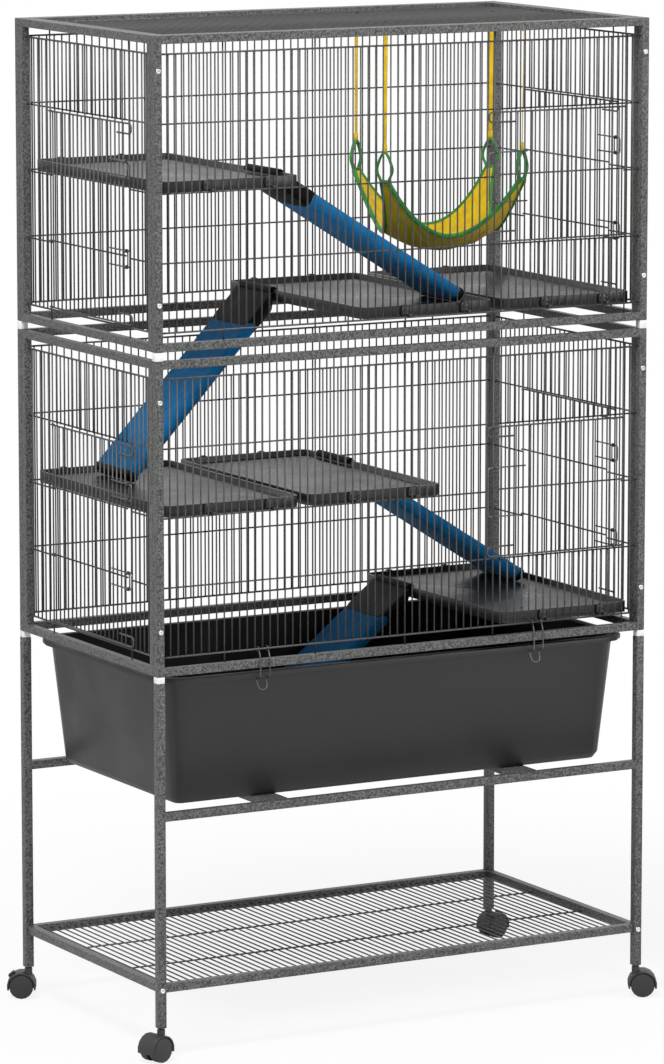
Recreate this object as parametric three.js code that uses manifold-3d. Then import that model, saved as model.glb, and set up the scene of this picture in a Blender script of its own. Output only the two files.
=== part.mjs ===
// Two-storey ferret cage on a rolling stand.
// Millimetres, +Z up. X runs along the long side, -Y is the front, the floor is z = 0.
import * as THREE from 'three';
import { mergeVertices } from 'three/addons/utils/BufferGeometryUtils.js';
import Module from 'manifold-3d';

const wasm = await Module();
wasm.setup();

// ---------- Driving sizes ----------
const cage_length = 787;
const cage_depth = 431;
const upper_height = 430;
const lower_height = 436;
const storey_gap = 12.2;
const stand_gap = 9.4;
const leg_height = 485;
const caster_height = 45.5;
const cage_tube = 11.5;
const stand_tube = 12;
const fit_gap = 0.3;

// Wire grilles
const wire_size = 2.2;
const slim_wire_radius = 1.25;
const slim_wire_sides = 3;
const cross_wire_size = 2.4;
const edge_wire_size = 2.8;
const hairline = 0.1;
const weld_bite = 0.3;
const weld_size = 1.6;
const wire_margin = 14;
const wire_embed = 1.6;
const long_wire_count = 63;
const short_wire_count = 29;
const top_wire_count = 61;
const shelf_wire_count = 61;
const cross_wire_rows = 5;
const support_step = 12;

// Doors: wires are numbered from the start of a panel, rows from its top
const front_hinge_wire = 62;
const front_edge_wire = 44;
const front_last_row = 3;
const side_hinge_wire = 24;
const side_edge_wire = 5;
const side_last_row = 4;
const door_first_row = 1;
const door_wire_gap = 0.2;
const door_rail_size = 2.6;
const door_row_clearance = 4;
const door_middle_lift = 3;
const rail_from_pin = 1.8;
const middle_from_pin = 2.4;
const hairpin_lap = 10.5;
const hairpin_height = 14;
const hairpin_return = 42;
const hairpin_bend = 6;
const eye_bore = 2.1;
const eye_rim = 3.4;
const eye_sides = 6;

// Door latches: a wire bow that slides in two eyes on the panel
const latch_wire = 2.2;
const latch_gap = 0.4;
const latch_back = 11.5;
const latch_reach = 50;
const latch_bend = 3;
const front_latch_height = 72;
const side_latch_height = 24.5;
const side_latch_rise = 28;
const latch_eye_wall = 1.5;
const latch_eye_length = 4;

// Stand
const mid_rail_height = 303.5;
const crossbar_width = 36;
const crossbar_thickness = 3;
const crossbar_flange = 10;
const crossbar_rise = 0.5;
const crossbar_left = 191;
const crossbar_right = 596;
const shelf_height = 61.5;
const shelf_inset = 3;
const shelf_front_brace = 144;
const shelf_back_brace = 287;
const stem_bore_radius = 3.1;
const stem_bore_depth = 14;
const stem_sides = 8;
const pin_size = 5.6;
const pin_length = 8.7;
const pin_gap = 0.3;

// Litter tray
const tray_margin_x = 14;
const tray_margin_y = 8;
const tray_rim_width = 13;
const tray_rim_thickness = 7;
const tray_cage_gap = 8;
const tray_wall = 3;
const tray_taper = 19;
const tray_corner = 48;
const tray_corner_steps = 3;
const tray_foot_height = 9;
const tray_foot_inset = 7;

// Tray clips
const clip_wire = 2.2;
const clip_width = 17;
const clip_left_wire = 13;
const clip_right_wire = 50;
const clip_eye_bore = 2.6;
const clip_eye_rim = 4;
const clip_front_gap = 1.2;
const clip_shoulder = 9;
const clip_under_gap = 0.6;
const clip_hook = 6.75;
const clip_bend = 3;

// Platforms
const platform_length = 213.5;
const platform_inset_y = 16;
const platform_rim_height = 16;
const platform_floor_drop = 8;
const platform_floor = 3;
const platform_lip = 3.5;
const platform_slope = 1;
const platform_corner = 14;
const platform_corner_steps = 2;
const platform_first_left = 8.5;
const platform_over_wire = 15.5;
const middle_bays = 26;
const right_bays = 45;
const lower_middle_bays = 19;
const knob_radius = 8.5;
const knob_drop = 8;
const knob_sides = 8;
const peg_width = 5;
const peg_height = 3;
const peg_end = 1.5;
const front_knob_bays = [6.5, 14.5];
const back_knob_bays = [4.5, 12.5];

// Ramps
const ramp_length = 345;
const ramp_width = 110;
const ramp_thickness = 20;
const ramp_over_pivot = 3;
const ramp_corner = 7;
const ramp_corner_steps = 2;
const ramp_cover_start = 26;
const ramp_cover_end = 324;
const ramp_cover_proud = 1.5;
const ramp_end_start = 5;
const ramp_end_cut = 22.5;
const ramp_end_knee = 1;
const ramp_front_y = 65;
const ramp_back_y = 270;
const ramp_pivot_drop = 2.5;
const ramp_hook_inner = 4.4;
const ramp_hook_outer = 6.6;
const ramp_hook_from = -5;
const ramp_hook_to = 225;
const ramp_hook_steps = 6;
const ramp_hook_inset = 8;

// Casters
const wheel_radius = 17.5;
const wheel_half_width = 15;
const wheel_inner_face = 3.1;
const wheel_segments = 16;
const axle_radius = 2.4;
const axle_bore = 2.9;
const hood_radius = 21;
const hood_wall = 2.3;
const hood_half_width = 15.5;
const hood_web = 4.6;
const hood_drop_angle = 12;
const hood_steps = 9;
const caster_trail = 10;
const stem_radius = 2.6;
const stem_housing_radius = 5.6;
const stem_housing_gap = 1.6;
const lever_width = 9;
const lever_length = 12;
const lever_thickness = 3;
const lever_angle = 50;
const front_left_swivel = 198;
const front_right_swivel = 331;
const back_left_swivel = 151;
const back_right_swivel = 18;

// Hammock
const hammock_x = 577;
const hammock_y = 232;
const hammock_half_side = 100;
const hammock_turn = -17.6;
const hammock_corner_drop = 231;
const hammock_edge_sag = 75;
const hammock_middle_relief = 44;
const hammock_edge_draw = 0.18;
const hammock_cloth = 2;
const hammock_fold_depth = 3;
const hammock_cells = 12;
const hammock_hook_wires = [36, 52, 57, 41];
const strap_width = 7;
const strap_thickness = 1.6;
const loop_height = 56;
const loop_width = 26;
const loop_tape = 4;
const loop_sides = 10;
const loop_lap = 3;
const hanger_wire = 1.6;
const hanger_gap = 0.4;
const hanger_drop = 16;
const hanger_tip = 6;
const hanger_width = 4;

// ---------- Levels and planes that follow ----------
const leg_top = caster_height + leg_height;
const lower_bottom = leg_top + stand_gap;
const lower_top = lower_bottom + lower_height;
const upper_bottom = lower_top + storey_gap;
const upper_top = upper_bottom + upper_height;
const mid_rail_top = caster_height + mid_rail_height;
const shelf_top = caster_height + shelf_height;
const crossbar_top = mid_rail_top + crossbar_rise;
const tray_bottom = crossbar_top + fit_gap;
const tray_rim_top = lower_bottom - tray_cage_gap;
const side_width = cage_depth - 2 * (cage_tube + fit_gap);
const top_length = cage_length - 2 * (cage_tube + fit_gap);
const long_pitch = (cage_length - 2 * cage_tube) / (long_wire_count + 1);
const wire_plane = cage_tube / 2;
const cross_plane = wire_plane + (wire_size + cross_wire_size) / 2 + hairline;
const door_plane = wire_plane - (wire_size + door_rail_size) / 2 - door_wire_gap;
const door_middle_plane = door_plane + (wire_size + cross_wire_size) / 2 + hairline;
const latch_plane = door_plane - (door_rail_size + latch_wire) / 2 - latch_gap;

// ---------- Colours ----------
const frame_paint = { color: 0x62635f, roughness: 0.55, metalness: 0.4 };
const wire_paint = { color: 0x6d6e6c, roughness: 0.5, metalness: 0.5 };
const bare_wire = { color: 0x9a9a9a, roughness: 0.35, metalness: 0.8 };
const plug_white = { color: 0xe9e9e6, roughness: 0.5, metalness: 0 };
const tray_black = { color: 0x38393a, roughness: 0.6, metalness: 0 };
const platform_black = { color: 0x3c3d3e, roughness: 0.55, metalness: 0 };
const ramp_blue = { color: 0x0067a6, roughness: 0.6, metalness: 0 };
const caster_black = { color: 0x424341, roughness: 0.5, metalness: 0 };
const hammock_yellow = { color: 0xd8b400, roughness: 0.9, metalness: 0 };

// ---------- Solid helpers ----------
function solidOf(geometry) {
  const bare = geometry.index ? geometry.toNonIndexed() : geometry.clone();
  bare.deleteAttribute('normal');
  bare.deleteAttribute('uv');
  const merged = mergeVertices(bare, 1e-4);
  const corners = merged.index.array;
  const faces = [];
  for (let i = 0; i < corners.length; i += 3) {
    const [a, b, c] = [corners[i], corners[i + 1], corners[i + 2]];
    if (a !== b && b !== c && c !== a) faces.push(a, b, c);
  }
  const mesh = new wasm.Mesh({
    numProp: 3,
    vertProperties: new Float32Array(merged.attributes.position.array),
    triVerts: new Uint32Array(faces),
  });
  return new wasm.Manifold(mesh);
}

function geometryOf(solid) {
  const mesh = solid.getMesh();
  const geometry = new THREE.BufferGeometry();
  geometry.setAttribute('position', new THREE.BufferAttribute(new Float32Array(mesh.vertProperties), 3));
  geometry.setIndex(new THREE.BufferAttribute(new Uint32Array(mesh.triVerts), 1));
  geometry.computeVertexNormals();
  return geometry;
}

function joined(solids) {
  return solids.reduce((sum, next) => sum.add(next));
}

function block(x0, x1, y0, y1, z0, z1) {
  const geometry = new THREE.BoxGeometry(x1 - x0, y1 - y0, z1 - z0);
  geometry.translate((x0 + x1) / 2, (y0 + y1) / 2, (z0 + z1) / 2);
  return solidOf(geometry);
}

// A square wire along X, given by its centre line.
function wireX(x0, x1, y, z, size) {
  return block(x0, x1, y - size / 2, y + size / 2, z - size / 2, z + size / 2);
}

// A square wire along Z.
function wireZ(x, y, z0, z1, size) {
  return block(x - size / 2, x + size / 2, y - size / 2, y + size / 2, z0, z1);
}

// A slim wire along Z, its ridge towards -Y.
function slimWireZ(x, y, z0, z1) {
  return drumZ(slim_wire_radius, z0, z1, slim_wire_sides).translate([x, y, 0]);
}

// A slim wire along Y, its ridge upwards.
function slimWireY(x, y0, y1, z) {
  return drumZ(slim_wire_radius, y0, y1, slim_wire_sides).rotate([-90, 0, 0]).translate([x, 0, z]);
}

// A cylinder along Z.
function drumZ(radius, z0, z1, sides) {
  const geometry = new THREE.CylinderGeometry(radius, radius, z1 - z0, sides);
  geometry.rotateX(Math.PI / 2);
  geometry.translate(0, 0, (z0 + z1) / 2);
  return solidOf(geometry);
}

// A cylinder along Y.
function drumY(radius, y0, y1, sides) {
  const geometry = new THREE.CylinderGeometry(radius, radius, y1 - y0, sides);
  geometry.translate(0, (y0 + y1) / 2, 0);
  return solidOf(geometry);
}

function outline(points) {
  return new THREE.Shape(points.map(([a, b]) => new THREE.Vector2(a, b)));
}

function rectangle(a0, a1, b0, b1) {
  return outline([[a0, b0], [a1, b0], [a1, b1], [a0, b1]]);
}

// A shape in the X-Z plane, extruded along Y.
function slabXZ(shape, y0, y1) {
  const geometry = new THREE.ExtrudeGeometry(shape, { depth: y1 - y0, bevelEnabled: false });
  geometry.rotateX(Math.PI / 2);
  geometry.translate(0, y1, 0);
  return solidOf(geometry);
}

// A shape in the Y-Z plane, extruded along X.
function slabYZ(shape, x0, x1) {
  return slabXZ(shape, -x1, -x0).rotate([0, 0, 90]);
}

// An arc of points about the origin, in degrees.
function arc(radius, from, to, steps) {
  return Array.from({ length: steps + 1 }, (_, k) => {
    const angle = THREE.MathUtils.degToRad(from + (to - from) * k / steps);
    return [radius * Math.cos(angle), radius * Math.sin(angle)];
  });
}

// The outline of a wire that follows a line of points with rounded corners.
function bentWire(points, bend, size, steps) {
  const path = new THREE.Path();
  path.moveTo(...points[0]);
  for (let i = 1; i < points.length - 1; i += 1) {
    const corner = new THREE.Vector2(...points[i]);
    const before = new THREE.Vector2(...points[i - 1]).sub(corner);
    const after = new THREE.Vector2(...points[i + 1]).sub(corner);
    const reach = Math.min(bend, before.length() * 0.48, after.length() * 0.48);
    const from = before.setLength(reach).add(corner);
    const to = after.setLength(reach).add(corner);
    path.lineTo(from.x, from.y);
    path.quadraticCurveTo(corner.x, corner.y, to.x, to.y);
  }
  path.lineTo(...points[points.length - 1]);
  const line = path.getPoints(steps);
  const normals = line.slice(1).map((point, i) => {
    const along = point.clone().sub(line[i]).normalize();
    return new THREE.Vector2(-along.y, along.x);
  });
  const side = (half) => line.map((point, i) => {
    const before = normals[Math.max(i - 1, 0)];
    const after = normals[Math.min(i, normals.length - 1)];
    const mitre = before.clone().add(after).normalize();
    return point.clone().addScaledVector(mitre, half / mitre.dot(before));
  });
  return new THREE.Shape([...side(size / 2), ...side(-size / 2).reverse()]);
}

// Rings of equally many points, skinned, with a face at each end.
function skinned(rings) {
  const count = rings[0].length;
  const ends = [rings[0], rings[rings.length - 1]];
  const middles = ends.map((ring) => [0, 1, 2].map((k) => ring.reduce((sum, p) => sum + p[k], 0) / count));
  const positions = [...rings.flat(2), ...middles.flat()];
  const bottom = rings.length * count;
  const last = bottom - count;
  const index = [];
  for (let i = 0; i < count; i += 1) {
    const next = (i + 1) % count;
    for (let r = 0; r < last; r += count) {
      index.push(r + i, r + next, r + count + next, r + i, r + count + next, r + count + i);
    }
    index.push(bottom, next, i, bottom + 1, last + i, last + next);
  }
  const geometry = new THREE.BufferGeometry();
  geometry.setAttribute('position', new THREE.Float32BufferAttribute(positions, 3));
  geometry.setIndex(index);
  return solidOf(geometry);
}

// A rounded rectangle from (0, 0), drawn in by an inset; its corners keep their centres.
function roundedRing(width, depth, corner, inset, z, steps) {
  const radius = Math.max(corner - inset, 1);
  const centres = [[width - corner, corner], [width - corner, depth - corner]];
  centres.push([corner, depth - corner], [corner, corner]);
  return centres.flatMap(([x, y], quarter) => {
    const from = 90 * (quarter - 1);
    return arc(radius, from, from + 90, steps).map(([a, b]) => [x + a, y + b, z]);
  });
}

const cage = new THREE.Group();
cage.name = 'ferret_cage';
cage.position.set(-cage_length / 2, -cage_depth / 2, 0);

function group(name, x, y, z, turn_z = 0, turn_x = 0) {
  const place = new THREE.Group();
  place.name = name;
  place.position.set(x, y, z);
  place.rotation.set(THREE.MathUtils.degToRad(turn_x), 0, THREE.MathUtils.degToRad(turn_z));
  cage.add(place);
  return place;
}

function placed(parent, name, solid, look, x = 0, y = 0, z = 0) {
  const mesh = new THREE.Mesh(geometryOf(solid), new THREE.MeshStandardMaterial(look));
  mesh.name = name;
  mesh.position.set(x, y, z);
  parent.add(mesh);
  return mesh;
}

// ---------- Wire panels ----------
// A panel stands in its own frame: u along X, inwards along Y, z from its lower edge.
function rowHeights(height) {
  const top = height - cage_tube - wire_margin;
  const bottom = cage_tube + wire_margin;
  const step = (top - bottom) / (cross_wire_rows - 1);
  return Array.from({ length: cross_wire_rows }, (_, row) => top - row * step);
}

function pitchOf(width, count) {
  return (width - 2 * cage_tube) / (count + 1);
}

function tubeFrame(width, height) {
  const shape = rectangle(0, width, 0, height);
  shape.holes.push(rectangle(cage_tube, width - cage_tube, cage_tube, height - cage_tube));
  return slabXZ(shape, 0, cage_tube);
}

// The wires that run on past the first and last rows into the tubes.
function supportWires(count, door) {
  const wires = new Set(door ? [door.hinge, door.edge] : []);
  const first = ((count + 1) / 2) % support_step;
  if (count > 3 * support_step) {
    for (let n = first; n <= count; n += support_step) wires.add(n);
  }
  return wires;
}

function panel(width, height, count, door) {
  const pitch = pitchOf(width, count);
  const rows = rowHeights(height);
  const first = rows[0];
  const last = rows[cross_wire_rows - 1];
  const left = cage_tube - wire_embed;
  const right = width - cage_tube + wire_embed;
  const supports = supportWires(count, door);
  const low_wire = door ? Math.min(door.hinge, door.edge) : 0;
  const high_wire = door ? Math.max(door.hinge, door.edge) : 0;
  const solids = [tubeFrame(width, height)];
  rows.forEach((z, row) => {
    if (row === 0 || row === cross_wire_rows - 1) {
      solids.push(wireX(left, right, wire_plane, z, edge_wire_size));
    } else if (door && row > door_first_row && row < door.last_row) {
      const low = cage_tube + low_wire * pitch + wire_size / 2;
      const high = cage_tube + high_wire * pitch - wire_size / 2;
      solids.push(wireX(left, low, cross_plane, z, cross_wire_size));
      solids.push(wireX(high, right, cross_plane, z, cross_wire_size));
    } else {
      solids.push(wireX(left, right, cross_plane, z, cross_wire_size));
    }
  });
  for (let n = 1; n <= count; n += 1) {
    const u = cage_tube + n * pitch;
    if (n > low_wire && n < high_wire) {
      solids.push(slimWireZ(u, wire_plane, rows[door_first_row] - cross_wire_size / 2, first));
      if (door.last_row < cross_wire_rows - 1) {
        solids.push(slimWireZ(u, wire_plane, last, rows[door.last_row] + cross_wire_size / 2));
      }
    } else if (supports.has(n)) {
      const high_end = height - cage_tube + wire_embed;
      solids.push(wireZ(u, wire_plane, cage_tube - wire_embed, high_end, wire_size));
    } else {
      solids.push(slimWireZ(u, wire_plane, last + edge_wire_size / 2 + hairline, first));
    }
  }
  if (door) solids.push(...latchEyes(door, pitch, rows));
  return joined(solids);
}

// ---------- Doors ----------
// A leaf is drawn with its hinge wire at u = 0 and its free edge at +u.
function ring(bore, rim, thickness) {
  const rim_drum = drumZ(rim, -thickness / 2, thickness / 2, eye_sides);
  return rim_drum.subtract(drumZ(bore, -thickness, thickness, eye_sides));
}

function hingeEye(z) {
  return ring(eye_bore, eye_rim, cross_wire_size).translate([0, wire_plane, z]);
}

function doorLeaf(door, pitch, rows) {
  const bays = Math.abs(door.edge - door.hinge);
  const top = rows[door_first_row] - door_row_clearance;
  const bottom = rows[door.last_row] + door_row_clearance;
  const tip = bays * pitch + hairpin_lap;
  const solids = [];
  [[top, -1], [bottom, 1]].forEach(([z, towards_middle]) => {
    const far = z + towards_middle * hairpin_height;
    const line = [[rail_from_pin, z], [tip, z], [tip, far], [tip - hairpin_return, far]];
    const wire = bentWire(line, hairpin_bend, door_rail_size, 2);
    solids.push(slabXZ(wire, door_plane - door_rail_size / 2, door_plane + door_rail_size / 2));
    solids.push(hingeEye(z));
  });
  solids.push(wireZ(pitch, door_plane, bottom, top, wire_size));
  for (let n = 2; n < bays; n += 1) {
    solids.push(slimWireZ(n * pitch, door_plane, bottom + door_rail_size / 2 + hairline, top));
  }
  const last = (bays - 1) * pitch;
  for (let row = door_first_row + 1; row < door.last_row; row += 1) {
    const z = rows[row] + door_middle_lift;
    const weld_front = door_plane;
    const weld_back = door_middle_plane - cross_wire_size / 2 + weld_bite;
    const half = weld_size / 2;
    solids.push(wireX(middle_from_pin, last + wire_size, door_middle_plane, z, cross_wire_size));
    solids.push(block(last - half, last + half, weld_front, weld_back, z - half, z + half));
    solids.push(hingeEye(z));
  }
  return joined(solids);
}

// ---------- Latches ----------
function latchHeights(door, rows) {
  const middle = rows[door_first_row + 1];
  if (door.latches === 1) return [middle];
  return [middle + side_latch_rise, rows[door_first_row + 2]];
}

function latchEyes(door, pitch, rows) {
  const u = cage_tube + door.edge * pitch;
  const half_bore = latch_wire / 2 + fit_gap;
  const half_body = half_bore + latch_eye_wall;
  const back = wire_plane - wire_size / 2 + weld_bite;
  const prong = (door.latch_height - latch_wire) / 2;
  const eye = (low, high, bores) => {
    const body = rectangle(latch_plane - half_body, back, low - half_body, high + half_body);
    bores.forEach((z) => {
      body.holes.push(rectangle(latch_plane - half_bore, latch_plane + half_bore, z - half_bore, z + half_bore));
    });
    return slabYZ(body, u - latch_eye_length / 2, u + latch_eye_length / 2);
  };
  return latchHeights(door, rows).flatMap((z) => {
    const ends = [z - prong, z + prong];
    return door.latches === 1 ? ends.map((end) => eye(end, end, [end])) : [eye(...ends, ends)];
  });
}

function latchBow(door, pitch, z) {
  const edge = Math.abs(door.edge - door.hinge) * pitch;
  const half = (door.latch_height - latch_wire) / 2;
  const closed = edge + latch_back;
  const tip = edge - latch_reach;
  const line = [[tip, z - half], [closed, z - half], [closed, z + half], [tip, z + half]];
  const wire = bentWire(line, latch_bend, latch_wire, 1);
  return slabXZ(wire, latch_plane - latch_wire / 2, latch_plane + latch_wire / 2);
}

// Puts a leaf or latch on its panel: hinge wire in place, free edge towards the edge wire.
function hung(solid, door, pitch) {
  const facing = door.edge > door.hinge ? solid : solid.mirror([1, 0, 0]);
  return facing.translate([cage_tube + door.hinge * pitch, 0, 0]);
}

const front_door = {
  hinge: front_hinge_wire,
  edge: front_edge_wire,
  last_row: front_last_row,
  latches: 1,
  latch_height: front_latch_height,
};
const right_door = {
  hinge: side_hinge_wire,
  edge: side_edge_wire,
  last_row: side_last_row,
  latches: 2,
  latch_height: side_latch_height,
};
const left_door = {
  ...right_door,
  hinge: short_wire_count + 1 - side_hinge_wire,
  edge: short_wire_count + 1 - side_edge_wire,
};

// ---------- A storey: four panels with their doors and latches ----------
// Square pockets in the tops of two posts for the pins of the corner plugs.
function plugPockets(width, top) {
  const pocket = wireZ(0, wire_plane, top - pin_length - pin_gap, top + 1, pin_size + 2 * pin_gap);
  return joined([cage_tube / 2, width - cage_tube / 2].map((x) => pocket.translate([x, 0, 0])));
}

function storey(level, bottom, height) {
  const side_start = cage_tube + fit_gap;
  const sides = [
    ['front', 0, 0, 0, cage_length, long_wire_count, front_door],
    ['back', cage_length, cage_depth, 180, cage_length, long_wire_count, null],
    ['left', 0, cage_depth - side_start, -90, side_width, short_wire_count, left_door],
    ['right', cage_length, side_start, 90, side_width, short_wire_count, right_door],
  ];
  sides.forEach(([side, x, y, turn, width, count, door]) => {
    const place = group(`${side}_side_${level}`, x, y, bottom, turn);
    const has_pockets = level === 'lower' && width === cage_length;
    const whole = panel(width, height, count, door);
    const body = has_pockets ? whole.subtract(plugPockets(width, height)) : whole;
    placed(place, `${side}_panel_${level}`, body, wire_paint);
    if (!door) return;
    const pitch = pitchOf(width, count);
    const rows = rowHeights(height);
    placed(place, `${side}_door_${level}`, hung(doorLeaf(door, pitch, rows), door, pitch), wire_paint);
    latchHeights(door, rows).forEach((z, number) => {
      const suffix = door.latches === 1 ? '' : `_${number + 1}`;
      const bow = hung(latchBow(door, pitch, z), door, pitch);
      placed(place, `${side}_latch_${level}${suffix}`, bow, bare_wire);
    });
  });
}

storey('upper', upper_bottom, upper_height);
storey('lower', lower_bottom, lower_height);

// ---------- Top panel: lies inside the upper tubes, its wires facing up ----------
const top_place = group('top_side', cage_tube + fit_gap, cage_tube + fit_gap, upper_top, 0, -90);
placed(top_place, 'top_panel', panel(top_length, side_width, top_wire_count, null), wire_paint);

// ---------- Corner plugs ----------
function cornerPlug(gap) {
  const body = wireZ(0, 0, fit_gap, gap - fit_gap, cage_tube);
  const pin = wireZ(0, 0, -pin_length, gap / 2, pin_size);
  return body.add(pin);
}

const post_centre = cage_tube / 2;
const posts = [
  ['front_left', post_centre, post_centre],
  ['front_right', cage_length - post_centre, post_centre],
  ['back_left', post_centre, cage_depth - post_centre],
  ['back_right', cage_length - post_centre, cage_depth - post_centre],
];
posts.forEach(([corner, x, y]) => {
  placed(cage, `stand_plug_${corner}`, cornerPlug(stand_gap), plug_white, x, y, leg_top);
  placed(cage, `storey_plug_${corner}`, cornerPlug(storey_gap), plug_white, x, y, lower_top);
});

// ---------- Stand ----------
// Two legs with a rail between them: x along the rail, y across it.
function legFrame() {
  const leg = (x) => block(x, x + stand_tube, 0, stand_tube, caster_height, leg_top);
  const rail_bottom = mid_rail_top - stand_tube;
  const rail = block(stand_tube - 1, cage_length - stand_tube + 1, 0, stand_tube, rail_bottom, mid_rail_top);
  const half = stand_tube / 2;
  const stem_bore = drumZ(stem_bore_radius, caster_height - 1, caster_height + stem_bore_depth, stem_sides);
  const bores = [half, cage_length - half].map((x) => stem_bore.translate([x, half, 0]));
  const holes = joined([...bores, plugPockets(cage_length, leg_top)]);
  return joined([leg(0), leg(cage_length - stand_tube), rail]).subtract(holes);
}

// A channel, open below, along Y.
function crossbar(x, y0, y1) {
  const half = crossbar_width / 2;
  const inside = half - crossbar_thickness;
  const low = crossbar_top - crossbar_flange;
  const ceiling = crossbar_top - crossbar_thickness;
  const section = outline([
    [x - half, low],
    [x - inside, low],
    [x - inside, ceiling],
    [x + inside, ceiling],
    [x + inside, low],
    [x + half, low],
    [x + half, crossbar_top],
    [x - half, crossbar_top],
  ]);
  return slabXZ(section, y0, y1);
}

placed(cage, 'stand_front_frame', legFrame(), frame_paint);
const back_legs = legFrame().mirror([0, 1, 0]).translate([0, cage_depth, 0]);
const bar_front = stand_tube + fit_gap;
const bar_back = cage_depth - stand_tube + weld_bite;
const crossbars = [crossbar_left, crossbar_right].map((x) => crossbar(x, bar_front, bar_back));
placed(cage, 'stand_back_frame', joined([back_legs, ...crossbars]), frame_paint);

// ---------- Storage shelf between the legs ----------
function storageShelf() {
  const start = stand_tube + fit_gap;
  const near = shelf_inset;
  const far_x = cage_length - shelf_inset;
  const far_y = cage_depth - shelf_inset;
  const low = shelf_top - stand_tube;
  const middle = shelf_top - stand_tube / 2;
  const solids = [
    block(start, cage_length - start, near, near + stand_tube, low, shelf_top),
    block(start, cage_length - start, far_y - stand_tube, far_y, low, shelf_top),
    block(near, near + stand_tube, start, cage_depth - start, low, shelf_top),
    block(far_x - stand_tube, far_x, start, cage_depth - start, low, shelf_top),
  ];
  const inner_x0 = near + stand_tube;
  const inner_x1 = far_x - stand_tube;
  const inner_y0 = near + stand_tube + hairline;
  const inner_y1 = far_y - stand_tube + wire_embed;
  const pitch = (inner_x1 - inner_x0) / (shelf_wire_count + 1);
  for (let n = 1; n <= shelf_wire_count; n += 1) {
    solids.push(slimWireY(inner_x0 + n * pitch, inner_y0, inner_y1, middle));
  }
  const brace_z = middle - (wire_size + cross_wire_size) / 2 - hairline;
  [shelf_front_brace, shelf_back_brace].forEach((y) => {
    solids.push(wireX(inner_x0 - wire_embed, inner_x1 + wire_embed, y, brace_z, cross_wire_size));
  });
  return joined(solids);
}

placed(cage, 'storage_shelf', storageShelf(), frame_paint);

// ---------- Litter tray ----------
function litterTray(height) {
  const width = cage_length - 2 * tray_margin_x;
  const depth = cage_depth - 2 * tray_margin_y;
  const ringAt = (inset, z) => roundedRing(width, depth, tray_corner, inset, z, tray_corner_steps);
  const wall_foot = tray_rim_width + tray_taper;
  const foot = wall_foot + tray_foot_inset;
  return skinned([
    ringAt(foot, 0),
    ringAt(wall_foot, tray_foot_height),
    ringAt(tray_rim_width, height - tray_rim_thickness),
    ringAt(0, height - tray_rim_thickness),
    ringAt(0, height),
    ringAt(tray_rim_width + tray_wall, height),
    ringAt(wall_foot + tray_wall, tray_foot_height + tray_wall / 2),
    ringAt(foot + tray_wall / 2, tray_wall),
  ]);
}

const tray = litterTray(tray_rim_top - tray_bottom);
placed(cage, 'litter_tray', tray, tray_black, tray_margin_x, tray_margin_y, tray_bottom);

// ---------- Tray clips, hung from the lowest cross wire of the front ----------
function trayClip() {
  const half = (clip_width - clip_wire) / 2;
  const rail_bottom = cage_tube + wire_margin;
  const front = -(wire_plane + clip_front_gap + clip_wire / 2);
  const hook_z = -(rail_bottom + tray_cage_gap + tray_rim_thickness + clip_under_gap + clip_wire / 2);
  const from_eye = -(clip_eye_bore + clip_eye_rim) / 2;
  const line = [[from_eye, 0], [front, -clip_shoulder], [front, hook_z], [clip_hook, hook_z]];
  const side_wire = bentWire(line, clip_bend, clip_wire, 1);
  const eye = ring(clip_eye_bore, clip_eye_rim, clip_wire).rotate([0, 90, 0]);
  const sides = [-half, half].flatMap((x) => [
    slabYZ(side_wire, x - clip_wire / 2, x + clip_wire / 2),
    eye.translate([x, 0, 0]),
  ]);
  return joined([...sides, wireX(-half, half, clip_hook - clip_wire / 2, hook_z, clip_wire)]);
}

const low_row = lower_bottom + cage_tube + wire_margin;
[['left', clip_left_wire], ['right', clip_right_wire]].forEach(([side, wire]) => {
  const x = cage_tube + wire * long_pitch;
  placed(cage, `tray_clip_${side}`, trayClip(), bare_wire, x, wire_plane, low_row);
});

// ---------- Platforms ----------
// A round boss on the platform's end wall with a peg that rests on the cross wire.
function wireKnob(bay) {
  const x = bay * long_pitch - platform_first_left;
  const face = cross_plane + cross_wire_size / 2 + fit_gap - platform_inset_y;
  const peg_z = -platform_over_wire + edge_wire_size / 2 + fit_gap;
  const boss = drumY(knob_radius, face, weld_bite, knob_sides).translate([x, 0, -knob_drop]);
  const half = peg_width / 2;
  const front = peg_end - platform_inset_y;
  return boss.add(block(x - half, x + half, front, face + weld_bite, peg_z, peg_z + peg_height));
}

// Drawn from the left front corner, the top of the rim at z = 0.
function platform() {
  const depth = cage_depth - 2 * platform_inset_y;
  const corner = platform_corner;
  const ringAt = (inset, z) => roundedRing(platform_length, depth, corner, inset, z, platform_corner_steps);
  const solids = [skinned([
    ringAt(platform_lip, -platform_floor_drop - platform_floor),
    ringAt(platform_lip, -platform_rim_height),
    ringAt(0, -platform_rim_height),
    ringAt(0, 0),
    ringAt(platform_lip, 0),
    ringAt(platform_lip + platform_slope, -platform_floor_drop),
  ])];
  front_knob_bays.forEach((bay) => solids.push(wireKnob(bay)));
  back_knob_bays.forEach((bay) => solids.push(wireKnob(bay).mirror([0, 1, 0]).translate([0, depth, 0])));
  return joined(solids);
}

function platformLeft(bays) {
  return cage_tube + platform_first_left + bays * long_pitch;
}

function rimTop(bottom, height, row) {
  return bottom + rowHeights(height)[row] + platform_over_wire;
}

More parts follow.
